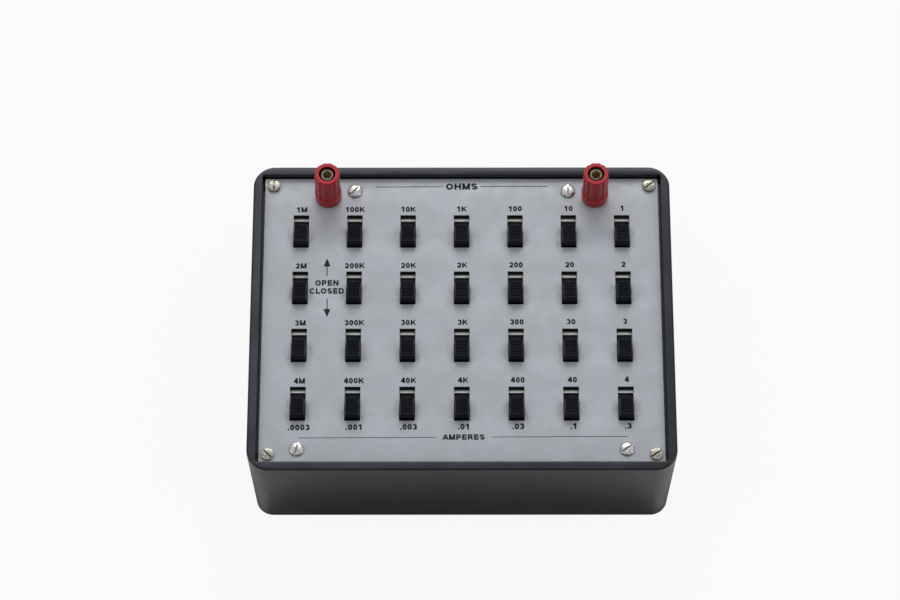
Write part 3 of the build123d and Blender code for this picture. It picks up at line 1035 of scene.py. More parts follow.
def joined(name: str, meshes: Sequence[bpy.types.Mesh]) -> bpy.types.Mesh:
    """Return one mesh that holds several.

    Args:
        name: the new mesh's name.
        meshes: the meshes, which stay.

    Returns:
        The mesh, with nothing welded.
    """
    work = bmesh.new()
    for mesh in meshes:
        work.from_mesh(mesh)
    return finished(name, work)


def worked(mesh: bpy.types.Mesh, other: bpy.types.Mesh, working: Working = Working.CUT,
           edge: float = 0.0) -> bpy.types.Mesh:
    """Return a mesh with another cut from it or added to it.

    Args:
        mesh: the mesh to work on.
        other: the mesh that is cut away or added.
        working: which of the two is done.
        edge: width of the rounding of sharp edges afterwards, in metres.

    Returns:
        The new mesh.
    """
    target, tool = placed("target", mesh), placed("tool", other)
    step = target.modifiers.new("working", "BOOLEAN")
    step.operation = working.value
    step.solver = "EXACT"
    step.object = tool
    if edge > 0:
        soften(target, edge, 35)
    bpy.context.view_layer.update()
    shaped = target.evaluated_get(bpy.context.evaluated_depsgraph_get())
    result = bpy.data.meshes.new_from_object(shaped)
    result.name = mesh.name
    bpy.data.objects.remove(target)
    bpy.data.objects.remove(tool)
    return result


def block(name: str, low: Sequence[float], high: Sequence[float],
          turn: float = 0.0) -> bpy.types.Mesh:
    """Return a box between two corners, turned about its own upright middle line.

    Args:
        name: the mesh's name.
        low: its lowest corner before it is turned.
        high: its highest corner before it is turned.
        turn: the turn, in radians.

    Returns:
        The mesh.
    """
    work = bmesh.new()
    bmesh.ops.create_cube(work, size=1.0)
    size = Vector(high) - Vector(low)
    middle = (Vector(high) + Vector(low)) / 2
    place = Matrix.Translation(middle) @ Matrix.Rotation(turn, 4, "Z") @ Matrix.Diagonal((*size, 1.0))
    bmesh.ops.transform(work, matrix=place, verts=work.verts)
    return finished(name, work)


@dataclass
class CaseShell:
    """Moulded case: drafted walls, rounded corners, rim, recess for the panel and foot seats."""

    shop: Workshop
    screws: Sequence[Pair]
    draft: float = 2.28 * MM
    corner_rim: float = 10.4 * MM
    rim_edge: float = 1.05 * MM
    base_edge: float = 0.6 * MM
    rim_width: float = 4.4 * MM
    recess_edge: float = 0.35 * MM
    recess_corner: float = 0.6 * MM
    ledge_width: float = 1.8 * MM
    floor_thickness: float = 3.6 * MM
    cavity_draft: float = 1.2 * MM
    cavity_corner: float = 5.0 * MM
    boss_radius: float = 5.0 * MM
    boss_root: float = 0.6 * MM
    insert_hole: float = 5.64 * MM
    insert_depth: float = 10.5 * MM
    foot_radius: float = 6.3 * MM
    seat_radius: float = 6.5 * MM
    seat_depth: float = 1.0 * MM
    corner_steps: int = 20
    edge_steps: int = 5

    def wall(self, half: Vector, base: float, rim: float) -> list[list[Vector]]:
        """Return the loops of the outer wall, from the base's edge up over the rim's edge.

        Args:
            half: half the rim's width and depth.
            base: height of the base.
            rim: height of the rim.

        Returns:
            The loops.
        """
        def at(height: float, inset: float) -> list[Vector]:
            """Return the wall's loop at a height, moved in by an inset.

            Args:
                height: the height.
                inset: how far it is moved in.

            Returns:
                The loop.
            """
            share = (height - base) / (rim - base)
            lean = self.draft * (1 - share)
            return corner_loop(half.x - lean - inset, half.y - lean - inset,
                               self.corner_rim - lean - inset, height, self.corner_steps)

        turns = quarter_round(self.edge_steps)
        lower = [at(base + self.base_edge * right, self.base_edge * top) for right, top in turns]
        upper = [at(rim - self.rim_edge * top, self.rim_edge * right) for right, top in turns]
        return lower + upper

    def recess(self, half: Vector, rim: float, ledge: float) -> list[list[Vector]]:
        """Return the loops of the recess, from the rim's inner edge down to the ledge.

        Args:
            half: half the recess's width and depth.
            rim: height of the rim.
            ledge: height of the ledge.

        Returns:
            The loops.
        """
        loops = []
        for right, top in quarter_round(self.edge_steps):
            out = self.recess_edge * top
            loops.append(corner_loop(half.x + out, half.y + out, self.recess_corner + out,
                                     rim - self.recess_edge * right, self.corner_steps))
        loops.append(corner_loop(half.x, half.y, self.recess_corner, ledge, self.corner_steps))
        return loops

    def bosses(self, cavity: Vector, floor: float, ledge: float) -> bpy.types.Mesh:
        """Return the four corner posts that hold the screw inserts, without their holes.

        Args:
            cavity: half the cavity's width and depth.
            floor: height of the cavity's floor.
            ledge: height of the ledge.

        Returns:
            One closed mesh.
        """
        parts = []
        for x, y in self.screws:
            side_x, side_y = math.copysign(1, x), math.copysign(1, y)
            wall_x = side_x * (cavity.x + self.boss_root)
            wall_y = side_y * (cavity.y + self.boss_root)
            parts.append(rod("boss", (x, y), self.boss_radius, floor - MM, ledge, 48))
            for corner in ((x - side_x * self.boss_radius, y), (x, y - side_y * self.boss_radius)):
                xs, ys = sorted((corner[0], wall_x)), sorted((corner[1], wall_y))
                parts.append(block("boss_web", (xs[0], ys[0], floor - MM), (xs[1], ys[1], ledge)))
        whole = parts[0]
        for part in parts[1:]:
            whole = worked(whole, part, Working.ADD)
        return whole

    def holes(self, base: float, ledge: float) -> bpy.types.Mesh:
        """Return the cutters of the insert holes and of the seats for the feet.

        Args:
            base: height of the base.
            ledge: height of the ledge.

        Returns:
            One mesh of them all.
        """
        across = self.insert_hole / math.sqrt(3)
        holes = [rod("insert_hole", place, across, ledge - self.insert_depth, ledge + MM, 6)
                 for place in self.screws]
        seats = [rod("foot_seat", place, self.seat_radius, base - MM, base + self.seat_depth, 48)
                 for place in group_centres("rubber_feet", self.foot_radius)]
        return joined("case_holes", holes + seats)

    def build(self) -> None:
        """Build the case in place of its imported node."""
        low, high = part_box("case")
        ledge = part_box("panel")[0].z
        half = Vector((high.x, high.y))
        recess = half - Vector((self.rim_width, self.rim_width))
        cavity = recess - Vector((self.ledge_width, self.ledge_width))
        floor = low.z + self.floor_thickness
        loops = self.wall(half, low.z, high.z) + self.recess(recess, high.z, ledge)
        loops.append(corner_loop(cavity.x, cavity.y, self.cavity_corner, ledge, self.corner_steps))
        loops.append(corner_loop(cavity.x - self.cavity_draft, cavity.y - self.cavity_draft,
                                 self.cavity_corner, floor, self.corner_steps))
        shell = lofted("case_shell", loops)
        shell = worked(shell, self.bosses(cavity, floor, ledge), Working.ADD)
        shell = worked(shell, self.holes(low.z, ledge))
        finish = CasePhenolic((recess.x, recess.y), high.z)
        made = self.shop.piece("case_shell", shell, finish, "root", "case_plastic", 30.0)
        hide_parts("case")


@dataclass
class FacePanel:
    """Sheet metal panel with rounded window edges and holes for its screws and posts."""

    shop: Workshop
    finish: PanelSatin = PanelSatin()
    window_width: float = 7.27 * MM
    window_length: float = 17.3 * MM
    edge: float = 0.16 * MM
    screw_hole: float = 1.9 * MM
    post_hole: float = 4.0 * MM

    def cuts(self, half: float, middles: Sequence[float], size: float) -> list[float]:
        """Return where the lines of the sheet's grid run along one axis, past windows of a size."""
        sides = [middle + side * size / 2 for middle in middles for side in (-1, 1)]
        return sorted([-half, half, *sides])

    def sheet(self) -> bpy.types.Mesh:
        """Return the sheet with its windows, before its round holes are cut.

        Returns:
            The mesh.
        """
        low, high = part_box("panel")
        xs = self.cuts(high.x, GRID.column_places(), self.window_width)
        ys = self.cuts(high.y, [GRID.row_place(row) for row in Row], self.window_length)
        work = bmesh.new()
        grid = [[work.verts.new((x, y, high.z)) for x in xs] for y in ys]
        for row in range(len(ys) - 1):
            for column in range(len(xs) - 1):
                if row % 2 == 1 and column % 2 == 1:
                    continue
                work.faces.new((grid[row][column], grid[row][column + 1],
                                grid[row + 1][column + 1], grid[row + 1][column]))
        thicken(work, low.z - high.z)
        sharp = [e for e in work.edges if e.is_manifold and e.calc_face_angle() > math.radians(60)
                 and all(v.co.z > high.z - self.edge for v in e.verts)]
        bmesh.ops.bevel(work, geom=sharp, offset=self.edge, segments=3, profile=0.5,
                        affect="EDGES", clamp_overlap=True)
        return finished("face_panel", work)

    def build(self, screws: Sequence[Pair], posts: Sequence[Pair]) -> None:
        """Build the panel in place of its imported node.

        Args:
            screws: the places of the screws.
            posts: the places of the binding posts.
        """
        low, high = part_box("panel")
        cutters = [rod("hole", place, radius, low.z - MM, high.z + MM, 48)
                   for places, radius in ((screws, self.screw_hole), (posts, self.post_hole))
                   for place in places]
        mesh = worked(self.sheet(), joined("panel_holes", cutters))
        made = self.shop.piece("face_panel", mesh, self.finish, "root", "panel_metal", 30.0)
        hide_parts("panel")


def bent(middle: Pair, reach: Pair, start: float, end: float, steps: int = 12) -> Outline:
    """Return points along part of an oval.

    Args:
        middle: the oval's middle.
        reach: its half width and half height.
        start: angle of the first point, in degrees from the right.
        end: angle of the last point.
        steps: how many runs it has.

    Returns:
        The points.
    """
    angles = [math.radians(start + (end - start) * step / steps) for step in range(steps + 1)]
    return [(middle[0] + reach[0] * math.cos(angle), middle[1] + reach[1] * math.sin(angle))
            for angle in angles]


class Alphabet:
    """A plain grotesque alphabet of even strokes, drawn for this panel's values and words.

    A letter is one high. It is a list of strokes, each the points of its middle line and whether
    it closes on itself, with the letter's width.
    """

    half = 0.128
    base, middle, top = 0.13, 0.5, 0.87
    stem = 0.2

    def post(self, x: float) -> Stroke:
        """Return an upright stroke of full height."""
        return [(x, 0.0), (x, 1.0)], False

    def bar(self, start: float, end: float, height: float) -> Stroke:
        """Return a level stroke."""
        return [(start, height), (end, height)], False

    def oval(self, x: float, reach: float) -> Stroke:
        """Return a closed ring as high as a letter, from its middle and half its width."""
        return bent((x, self.middle), (reach, self.top - self.middle), 0, 360, 28)[:-1], True

    def bowl(self, start: float, turn: float, low: float, high: float) -> Stroke:
        """Return a half ring that opens to the left, between two heights."""
        reach = (high - low) / 2
        arc = bent((turn, low + reach), (min(reach, 0.27), reach), 90, -90)
        return [(start, high), *arc, (start, low)], False

    def figure(self, figure: str) -> tuple[float, list[Stroke]]:
        """Return the width and strokes of a figure, a point, or 0 to 4.

        Args:
            figure: the character.

        Returns:
            Its width, and its strokes.
        """
        width = 0.78
        if figure == ".":
            return 0.36, [([(0.17, 0.0), (0.17, 0.26)], False)]
        if figure == "0":
            return width, [self.oval(0.38, 0.21)]
        if figure == "1":
            return width, [self.post(0.46), ([(0.12, 0.71), (0.3, 0.75), (0.42, 0.95)], False)]
        if figure == "2":
            arc = bent((0.38, 0.64), (0.21, 0.23), 175, -35)
            return width, [([*arc, (0.19, 0.13)], False), self.bar(0.08, 0.69, self.base)]
        if figure == "3":
            return width, [(bent((0.37, 0.69), (0.2, 0.18), 165, -90), False),
                           (bent((0.38, 0.315), (0.22, 0.185), 90, -165), False)]
        return width, [self.post(0.52), self.bar(0.03, 0.74, 0.32), ([(0.47, 0.94), (0.12, 0.32)], False)]

    def capital(self, letter: str) -> tuple[float, list[Stroke]]:
        """Return the width and strokes of a capital.

        Args:
            letter: the letter.

        Returns:
            Its width, and its strokes.
        """
        stem, wide, slant = self.stem, 1.0, 0.98
        bars = [self.bar(stem, 0.8, height) for height in (self.base, self.middle, self.top)]
        ring = bent((0.52, self.middle), (0.34, 0.37), 42, 318, 20)
        curl = [*bent((0.46, 0.69), (0.26, 0.18), 25, 245), *bent((0.46, 0.31), (0.28, 0.18), 70, -155)]
        half_bowl = self.bowl(stem, 0.5, 0.44, self.top)
        shapes = {
            "A": (0.94, [([(0.08, 0.0), (0.47, slant)], False), ([(0.86, 0.0), (0.47, slant)], False),
                         self.bar(0.22, 0.72, 0.3)]),
            "C": (wide, [(ring, False)]),
            "D": (wide, [self.post(stem), self.bowl(stem, 0.55, self.base, self.top)]),
            "E": (0.9, [self.post(stem), *bars]),
            "H": (wide, [self.post(stem), self.post(wide - stem), self.bar(stem, wide - stem, self.middle)]),
            "K": (0.96, [self.post(stem), ([(0.2, 0.34), (0.86, 1.04)], False),
                         ([(0.42, 0.6), (0.86, -0.02)], False)]),
            "L": (0.8, [self.post(stem), bars[0]]),
            "M": (1.12, [self.post(stem), self.post(1.12 - stem), ([(0.2, slant), (0.56, 0.04)], False),
                         ([(0.92, slant), (0.56, 0.04)], False)]),
            "N": (wide, [self.post(stem), self.post(wide - stem), ([(0.2, slant), (0.8, 0.02)], False)]),
            "O": (1.06, [self.oval(0.53, 0.33)]),
            "P": (0.93, [self.post(stem), half_bowl]),
            "R": (0.98, [self.post(stem), half_bowl, ([(0.55, 0.42), (0.82, 0.0)], False)]),
            "S": (0.93, [(curl, False)]),
        }
        return shapes[letter]

    def written(self, text: str) -> list[Stroke]:
        """Return the strokes of some text, with its letters one after another.

        Args:
            text: the text.

        Returns:
            The strokes, from the left.
        """
        strokes, cursor = [], 0.0
        for character in text:
            width, parts = self.capital(character) if character.isalpha() else self.figure(character)
            strokes += [([(x + cursor, y) for x, y in line], closed) for line, closed in parts]
            cursor += width
        return strokes


@dataclass(frozen=True)
class Word:
    """Some text, the middle of its baseline, the height of its capitals and their stretch."""

    text: str
    middle: Pair
    height: float
    stretch: float = 1.0


@dataclass(frozen=True)
class Heading:
    """A unit's word between two thin lines, each from near to far, and the lines' two edges."""

    word: Word
    near: float
    far: float
    edges: Pair


@dataclass
class Legends:
    """Printing on the panel: plain values, switch positions and units, as thin raised ink."""

    shop: Workshop
    finish: Ink = Ink()
    lift: float = 0.01 * MM
    film: float = 0.02 * MM
    value_height: float = 2.88 * MM
    value_rise: float = 1.8 * MM
    current_height: float = 3.0 * MM
    current_drop: float = 1.8 * MM
    word_height: float = 3.0 * MM
    word_shift: float = -0.45 * MM
    open_y: float = 17.25 * MM
    closed_y: float = 13.0 * MM
    open_arrow: Pair = (31.9 * MM, 22.5 * MM)
    closed_arrow: Pair = (0.6 * MM, 10.5 * MM)
    closed_arrow_shift: float = 0.2 * MM
    arrow_head: Pair = (1.65 * MM, 4.4 * MM)
    arrow_stem: float = 0.24 * MM
    ohms: Heading = Heading(Word("OHMS", (0.0, 68.5 * MM), 3.45 * MM, 1.1),
                            9 * MM, 41 * MM, (70.0 * MM, 70.35 * MM))
    amperes: Heading = Heading(Word("AMPERES", (0.0, -63.0 * MM), 2.8 * MM, 1.05),
                               13 * MM, 76 * MM, (-61.8 * MM, -61.5 * MM))
    screen_turn: float = 0.0049
    screen_shift: Pair = (0.46 * MM, 0.17 * MM)
    heads: tuple[str, ...] = ("1M", "100K", "10K", "1K", "100", "10", "1")
    currents: tuple[str, ...] = (".0003", ".001", ".003", ".01", ".03", ".1", ".3")

    def face(self) -> float:
        """Return the height at which the ink starts, just over the panel."""
        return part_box("panel")[1].z + self.lift

    def ribbon(self, work: bmesh.types.BMesh, line: Outline, closed: bool, half: float) -> None:
        """Add a flat stroke of even width along a line.

        Args:
            work: the mesh under construction.
            line: the points of the stroke's middle.
            closed: whether its end meets its start.
            half: half its width.
        """
        points = [Vector(point) for point in line]
        count, sharpest = len(points), 0.6
        edges = []
        for index, point in enumerate(points):
            runs = []
            if closed or index > 0:
                runs.append((point - points[index - 1]).normalized())
            if closed or index < count - 1:
                runs.append((points[(index + 1) % count] - point).normalized())
            along = sum(runs, Vector((0.0, 0.0))).normalized()
            across = Vector((-along.y, along.x))
            share = 1 / max(sharpest, across.dot(Vector((-runs[0].y, runs[0].x))))
            pair = [point + across * half * share, point - across * half * share]
            edges.append([work.verts.new((p.x, min(max(p.y, 0.0), 1.0), 0.0)) for p in pair])
        for start, end in zip(edges, edges[1:] + edges[:1] if closed else edges[1:]):
            work.faces.new((start[0], start[1], end[1], end[0]))

    def glyphs(self, word: Word) -> bpy.types.Mesh:
        """Return the ink of some text, as a thin mesh on the panel's face.

        Args:
            word: what is printed, and where.

        Returns:
            The mesh.
        """
        alphabet = Alphabet()
        work = bmesh.new()
        for line, closed in alphabet.written(word.text):
            self.ribbon(work, line, closed, alphabet.half)
        xs = [vertex.co.x for vertex in work.verts]
        place = (Matrix.Translation((*word.middle, self.face()))
                 @ Matrix.Diagonal((word.height * word.stretch, word.height, 1.0, 1.0))
                 @ Matrix.Translation((-(min(xs) + max(xs)) / 2, 0, 0)))
        bmesh.ops.transform(work, matrix=place, verts=work.verts)
        thicken(work, self.film)
        return finished("text", work)

    def value(self, row: Row, head: str) -> str:
        """Return the value printed above a switch."""
        return head.replace("1", str(row.value), 1)

    def line(self, low: Pair, high: Pair) -> bpy.types.Mesh:
        """Return a printed line between its two corners."""
        return block("line", (*low, self.face()), (*high, self.face() + self.film))

    def heading(self, heading: Heading) -> list[bpy.types.Mesh]:
        """Return the ink of a unit's word and of the line on each side of it.

        Args:
            heading: the word and its lines.

        Returns:
            The word's mesh, then the two lines'.
        """
        near, far = heading.near, heading.far
        low, high = heading.edges
        return [self.glyphs(heading.word), self.line((-far, low), (-near, high)),
                self.line((near, low), (far, high))]

    def arrow(self, x: float, tip: float, tail: float) -> bpy.types.Mesh:
        """Return a printed arrow along Y, from its tail to its tip.

        Args:
            x: where it stands.
            tip: Y of its tip.
            tail: Y of its tail.

        Returns:
            The mesh.
        """
        half, length = self.arrow_head
        neck = tip - math.copysign(length, tip - tail)
        stem = self.arrow_stem
        outline = [(x, tip), (x - half, neck), (x - stem, neck), (x - stem, tail),
                   (x + stem, tail), (x + stem, neck), (x + half, neck)]
        work = bmesh.new()
        work.faces.new([work.verts.new((*point, self.face())) for point in outline])
        thicken(work, self.film)
        return finished("arrow", work)

    def print_piece(self, name: str, parts: Sequence[bpy.types.Mesh]) -> None:
        """Add one group of printing, a little out of register as the printing screen lay.

        Args:
            name: the piece's name.
            parts: the meshes of its ink.
        """
        mesh = joined(name, parts)
        shift = Matrix.Translation((*self.screen_shift, 0.0))
        mesh.transform(shift @ Matrix.Rotation(self.screen_turn, 4, "Z"))
        self.shop.piece(name, mesh, self.finish, "root", "panel_metal", None)

    def build(self, panel: FacePanel) -> None:
        """Print the panel.

        Args:
            panel: the panel, for the places of its windows.
        """
        half = panel.window_length / 2
        columns = GRID.column_places()
        for row in Row:
            y = GRID.row_place(row) + half + self.value_rise
            parts = [self.glyphs(Word(self.value(row, head), (x, y), self.value_height))
                     for x, head in zip(columns, self.heads)]
            self.print_piece(f"values_row_{row.value}", parts)
        low_y = GRID.row_place(Row.FRONT) - half - self.current_drop - self.current_height
        self.print_piece("current_values", [self.glyphs(Word(text, (x, low_y), self.current_height))
                                            for x, text in zip(columns, self.currents)])
        middle = (columns[0] + columns[1]) / 2 + self.word_shift
        self.print_piece("switch_positions", [
            self.glyphs(Word("OPEN", (middle, self.open_y), self.word_height, 0.98)),
            self.glyphs(Word("CLOSED", (middle, self.closed_y), self.word_height, 0.97)),
            self.arrow(middle, *self.open_arrow),
            self.arrow(middle + self.closed_arrow_shift, *self.closed_arrow)])
        self.print_piece("unit_words", self.heading(self.ohms) + self.heading(self.amperes))


@dataclass
class SlottedScrews:
    """Slotted screws that hold the panel: rounded heads with cut slots, each left as it was turned."""

    shop: Workshop
    node: str
    finish: Plated
    places: Sequence[Pair]
    angles: Sequence[float]
    radius: float
    height: float
    crown: float
    shank: float = 1.7 * MM
    slot_width: float = 0.9 * MM
    slot_depth: float = 0.8 * MM
    slot_edge: float = 0.05 * MM
    edge: float = 0.22 * MM

    def screw(self, place: Pair, angle: float) -> bpy.types.Mesh:
        """Return one screw with its slot cut.

        Args:
            place: the screw's axis.
            angle: the slot's angle, in degrees.

        Returns:
            The mesh.
        """
        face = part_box("panel")[1].z
        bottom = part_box(self.node)[0].z
        top = face + self.height
        rises = [math.radians(degrees) for degrees in range(0, 90, 10)]
        crown = [(self.radius * math.cos(rise), top - self.crown * (1 - math.sin(rise))) for rise in rises]
        outline = [(0, bottom), (self.shank, bottom), (self.shank, face), (self.radius, face),
                   *crown, (0, top)]
        body = revolved(self.node, rounded(outline, self.edge), place, 72)
        x, y = place
        reach, half = self.radius + MM, self.slot_width / 2
        slot = block("slot", (x - reach, y - half, top - self.slot_depth), (x + reach, y + half, top + MM),
                     math.radians(angle))
        return worked(body, slot, edge=self.slot_edge)

    def build(self) -> None:
        """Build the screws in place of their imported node."""
        for number, (place, angle) in enumerate(zip(self.places, self.angles), start=1):
            mesh = self.screw(place, angle)
            made = self.shop.piece(f"{self.node}_{number}", mesh, self.finish, "root", "screw_metal")
            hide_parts(self.node)


@dataclass
class BindingPost:
    """Five-way binding post: base ring, threaded stud with a plug socket, and a fluted cap."""

    shop: Workshop
    side: str
    red: Moulded
    flute_count: int = 12
    flute_steps: int = 18
    flute_radius: float = 1.6 * MM
    flute_depth: float = 0.5 * MM
    flute_end: float = 4.4 * MM
    body_radius: float = 6.05 * MM
    skirt_radius: float = 6.35 * MM
    skirt_height: float = 3.0 * MM
    skirt_slope: float = 0.8 * MM
    cap_edge: float = 0.5 * MM
    cap_rounding: float = 0.45 * MM
    cap_run: float = 0.35 * MM
    bore_radius: float = 3.95 * MM
    pocket_radius: float = 4.65 * MM
    pocket_gap: float = 0.05 * MM
    sleeve_radius: float = 3.9 * MM
    sleeve_gap: float = 0.05 * MM
    ring_foot: float = 0.3 * MM
    ring_edge: float = 0.4 * MM
    ring_rounding: float = 0.3 * MM
    stud_radius: float = 3.15 * MM
    stud_edge: float = 0.3 * MM
    stud_rounding: float = 0.15 * MM
    shank_radius: float = 2.4 * MM
    socket_radius: float = 2.05 * MM
    socket_depth: float = 15.0 * MM
    socket_cone: float = 0.8 * MM
    thread_pitch: float = 0.907 * MM
    thread_depth: float = 0.28 * MM
    thread_steps: int = 8
    thread_start: float = 0.5 * MM
    thread_end: float = 0.4 * MM
    wire_hole_radius: float = 1.0 * MM
    wire_hole_rise: float = 1.9 * MM

    def node(self, part: str) -> str:
        """Return the name of one of the post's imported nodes."""
        return f"{self.side}_post_{part}"

    def centre(self) -> Pair:
        """Return the post's axis."""
        low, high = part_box(self.node("cap"))
        return (low.x + high.x) / 2, (low.y + high.y) / 2

    def flute_rule(self, foot: float) -> RadiusRule:
        """Return the rule that sinks round-ended flutes into the cap's outside.

        Args:
            foot: height of the cap's foot.

        Returns:
            A function of radius, height and angle that gives the surface's radius.
        """
        far = self.body_radius + self.flute_radius - self.flute_depth
        step = math.tau / self.flute_count

        def rule(radius: float, height: float, angle: float) -> float:
            """Return the smaller of the plain radius and the flute's own surface.

            Args:
                radius: the plain radius.
                height: the height.
                angle: the angle, in radians.

            Returns:
                The radius to use.
            """
            if radius < self.pocket_radius + MM / 2:
                return radius
            off = (angle + step / 2) % step - step / 2
            below = max(0.0, foot + self.flute_end - height)
            spare = self.flute_radius ** 2 - below ** 2 - (far * math.sin(off)) ** 2
            if spare <= 0:
                return radius
            return min(radius, far * math.cos(off) - math.sqrt(spare))

        return rule

    def cap(self) -> None:
        """Build the fluted cap."""
        low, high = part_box(self.node("cap"))
        bush_low, bush_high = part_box(self.node("bush"))
        outside = [(self.bore_radius, low.z), (self.skirt_radius - self.cap_edge, low.z),
                   (self.skirt_radius, low.z + self.cap_edge),
                   (self.skirt_radius, low.z + self.skirt_height),
                   (self.body_radius, low.z + self.skirt_height + self.skirt_slope),
                   (self.body_radius, high.z - self.cap_edge),
                   (self.body_radius - self.cap_edge, high.z), (self.bore_radius, high.z)]
        outside = divided(rounded(outside, self.cap_rounding), self.cap_run)
        pocket_top = bush_high.z + self.pocket_gap
        pocket_bottom = bush_low.z - self.pocket_gap
        inside = [(self.bore_radius, pocket_top), (self.pocket_radius, pocket_top),
                  (self.pocket_radius, pocket_bottom), (self.bore_radius, pocket_bottom)]
        mesh = revolved(self.node("cap_body"), outside + inside, self.centre(),
                        self.flute_count * self.flute_steps, self.flute_rule(low.z), ring=True)
        made = self.shop.piece(self.node("cap_body"), mesh, self.red, self.node("cap"), "post_red", 50.0)
        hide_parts(self.node("cap"))

    def base(self) -> None:
        """Build the base ring with its sleeve in the panel."""
        low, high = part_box(self.node("base"))
        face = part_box("panel")[1].z
        radius = (high.x - low.x) / 2
        bore = self.shank_radius + self.sleeve_gap
        outline = [(bore, low.z), (self.sleeve_radius, low.z), (self.sleeve_radius, face),
                   (radius - self.ring_foot, face), (radius, (face + high.z) / 2),
                   (radius, high.z - self.ring_edge), (radius - self.ring_edge, high.z), (bore, high.z)]
        mesh = revolved(self.node("base_ring"), rounded(outline, self.ring_rounding), self.centre(), 96,
                        ring=True)
        made = self.shop.piece(self.node("base_ring"), mesh, self.red, "root", "post_red")
        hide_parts(self.node("base"))

    def thread_rule(self, bottom: float, top: float) -> RadiusRule:
        """Return the rule that cuts a screw thread into the stud between two heights.

        Args:
            bottom: height of the thread's start.
            top: height of its end.

        Returns:
            A function of radius, height and angle that gives the surface's radius.
        """

        def rule(radius: float, height: float, angle: float) -> float:
            """Return the radius on the thread's flank.

            Args:
                radius: the plain radius.
                height: the height.
                angle: the angle, in radians.

            Returns:
                The radius to use.
            """
            if radius < self.stud_radius - 0.01 * MM or not bottom < height < top:
                return radius
            turn = (height / self.thread_pitch - angle / math.tau) % 1.0
            return radius - self.thread_depth * abs(2 * turn - 1)

        return rule

    def stud(self) -> None:
        """Build the stud with its thread, plug socket and wire hole."""
        low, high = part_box(self.node("stud"))
        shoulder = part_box(self.node("base"))[1].z
        socket_floor = high.z - self.socket_depth
        edge = self.stud_edge
        shank = [(0, low.z), (self.shank_radius - edge, low.z), (self.shank_radius, low.z + edge),
                 (self.shank_radius, shoulder)]
        barrel = divided([(self.stud_radius, shoulder), (self.stud_radius, high.z - edge)],
                         self.thread_pitch / self.thread_steps)
        mouth = rounded([(self.stud_radius, high.z - edge), (self.stud_radius - edge, high.z),
                         (self.socket_radius, high.z), (self.socket_radius, socket_floor + self.socket_cone)],
                        self.stud_rounding)
        outline = [*shank, *barrel, *mouth[1:], (0, socket_floor)]
        thread = self.thread_rule(shoulder + self.thread_start, high.z - self.thread_end)
        mesh = revolved(self.node("stud_body"), outline, self.centre(), 64, thread)
        across = self.stud_radius + MM
        drill = rod("wire_hole", (0.0, 0.0), self.wire_hole_radius, -across, across, 32)
        place = Matrix.Translation((*self.centre(), shoulder + self.wire_hole_rise))
        drill.transform(place @ Matrix.Rotation(math.radians(90), 4, "Y"))
        mesh = worked(mesh, drill)
        metal = SocketPlate("stud_nickel", (0.15, 0.145, 0.115), (0.09, 0.08, 0.055), 0.35,
                            axis=self.centre(), bore=self.socket_radius)
        made = self.shop.piece(self.node("stud_body"), mesh, metal, "root", "stud_metal", 30.0)
        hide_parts(self.node("stud"))

    def build(self) -> None:
        """Build the post's three visible pieces."""
        self.base()
        self.stud()
        self.cap()


@dataclass
class SwitchBank:
    """The slide switches: sliders, frames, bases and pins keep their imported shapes."""

    shop: Workshop
    nodes: dict[str, bpy.types.Object]
    knob: Moulded
    frame_face: Plated
    phenolic: Laminate
    pin_metal: Plated
    knob_edge: float = 0.07 * MM
    frame_edge: float = 0.15 * MM

    def build(self) -> None:
        """Dress every switch."""
        for name, node in self.nodes.items():
            if name.startswith("slider_"):
                self.shop.dress(node, self.knob, self.knob_edge)
        self.shop.dress(self.nodes["switch_frames"], self.frame_face, self.frame_edge)
        self.shop.dress(self.nodes["switch_bases"], self.phenolic)
        self.shop.dress(self.nodes["switch_pins"], self.pin_metal)


@dataclass
class Internals:
    """What the case hides: the board, its resistors and wires, spacers, nuts and inserts."""

    shop: Workshop
    nodes: dict[str, bpy.types.Object]

    def build(self) -> None:
        """Dress every hidden node."""
        steel = Plated("plated_steel", (0.56, 0.56, 0.55), (0.4, 0.4, 0.38))
        brass = Plated("turned_brass", (0.6, 0.43, 0.16), (0.4, 0.27, 0.1))
        board = Laminate("glass_epoxy", (0.1, 0.2, 0.07), (0.16, 0.28, 0.11))
        phenolic = Laminate("brown_phenolic", (0.2, 0.1, 0.04), (0.28, 0.15, 0.07), weave=0.9 * MM)
        lacquer = Moulded("resistor_lacquer", (0.1, 0.26, 0.42), (0.14, 0.3, 0.46), gloss=0.25)
        rubber = Moulded("foot_rubber", (0.016, 0.016, 0.016), (0.03, 0.03, 0.03), gloss=0.75)
        vinyl = Moulded("wire_vinyl", (0.42, 0.03, 0.03), (0.36, 0.03, 0.03), gloss=0.4)
        sharp = 0.0
        plan = {
            "circuit_board": (board, sharp),
            "resistors": (lacquer, 0.12 * MM),
            "resistor_leads": (steel, sharp),
            "board_spacers": (steel, 0.1 * MM),
            "board_nuts": (steel, 0.15 * MM),
            "post_nuts": (steel, 0.15 * MM),
            "post_lugs": (steel, sharp),
            "post_inner_washers": (phenolic, sharp),
            "post_wires": (vinyl, sharp),
            "case_inserts": (brass, 0.1 * MM),
            "left_post_bush": (brass, sharp),
            "right_post_bush": (brass, sharp),
            "rubber_feet": (rubber, 0.3 * MM),
        }
        for name, (finish, edge) in plan.items():
            self.shop.dress(self.nodes[name], finish, edge)


@dataclass(frozen=True)
class Softbox:
    """A soft square lamp that faces the box: its place and size in metres, and its power in watts."""

    name: str
    place: Triple
    size: float
    watts: float

    def build(self) -> None:
        """Hang the lamp."""
        data = bpy.data.lights.new(self.name, "AREA")
        data.size = self.size
        data.energy = self.watts
        holder = placed(self.name, data)
        holder.location = self.place
        holder.rotation_mode = "QUATERNION"
        holder.rotation_quaternion = Vector(self.place).to_track_quat("Z", "Y")


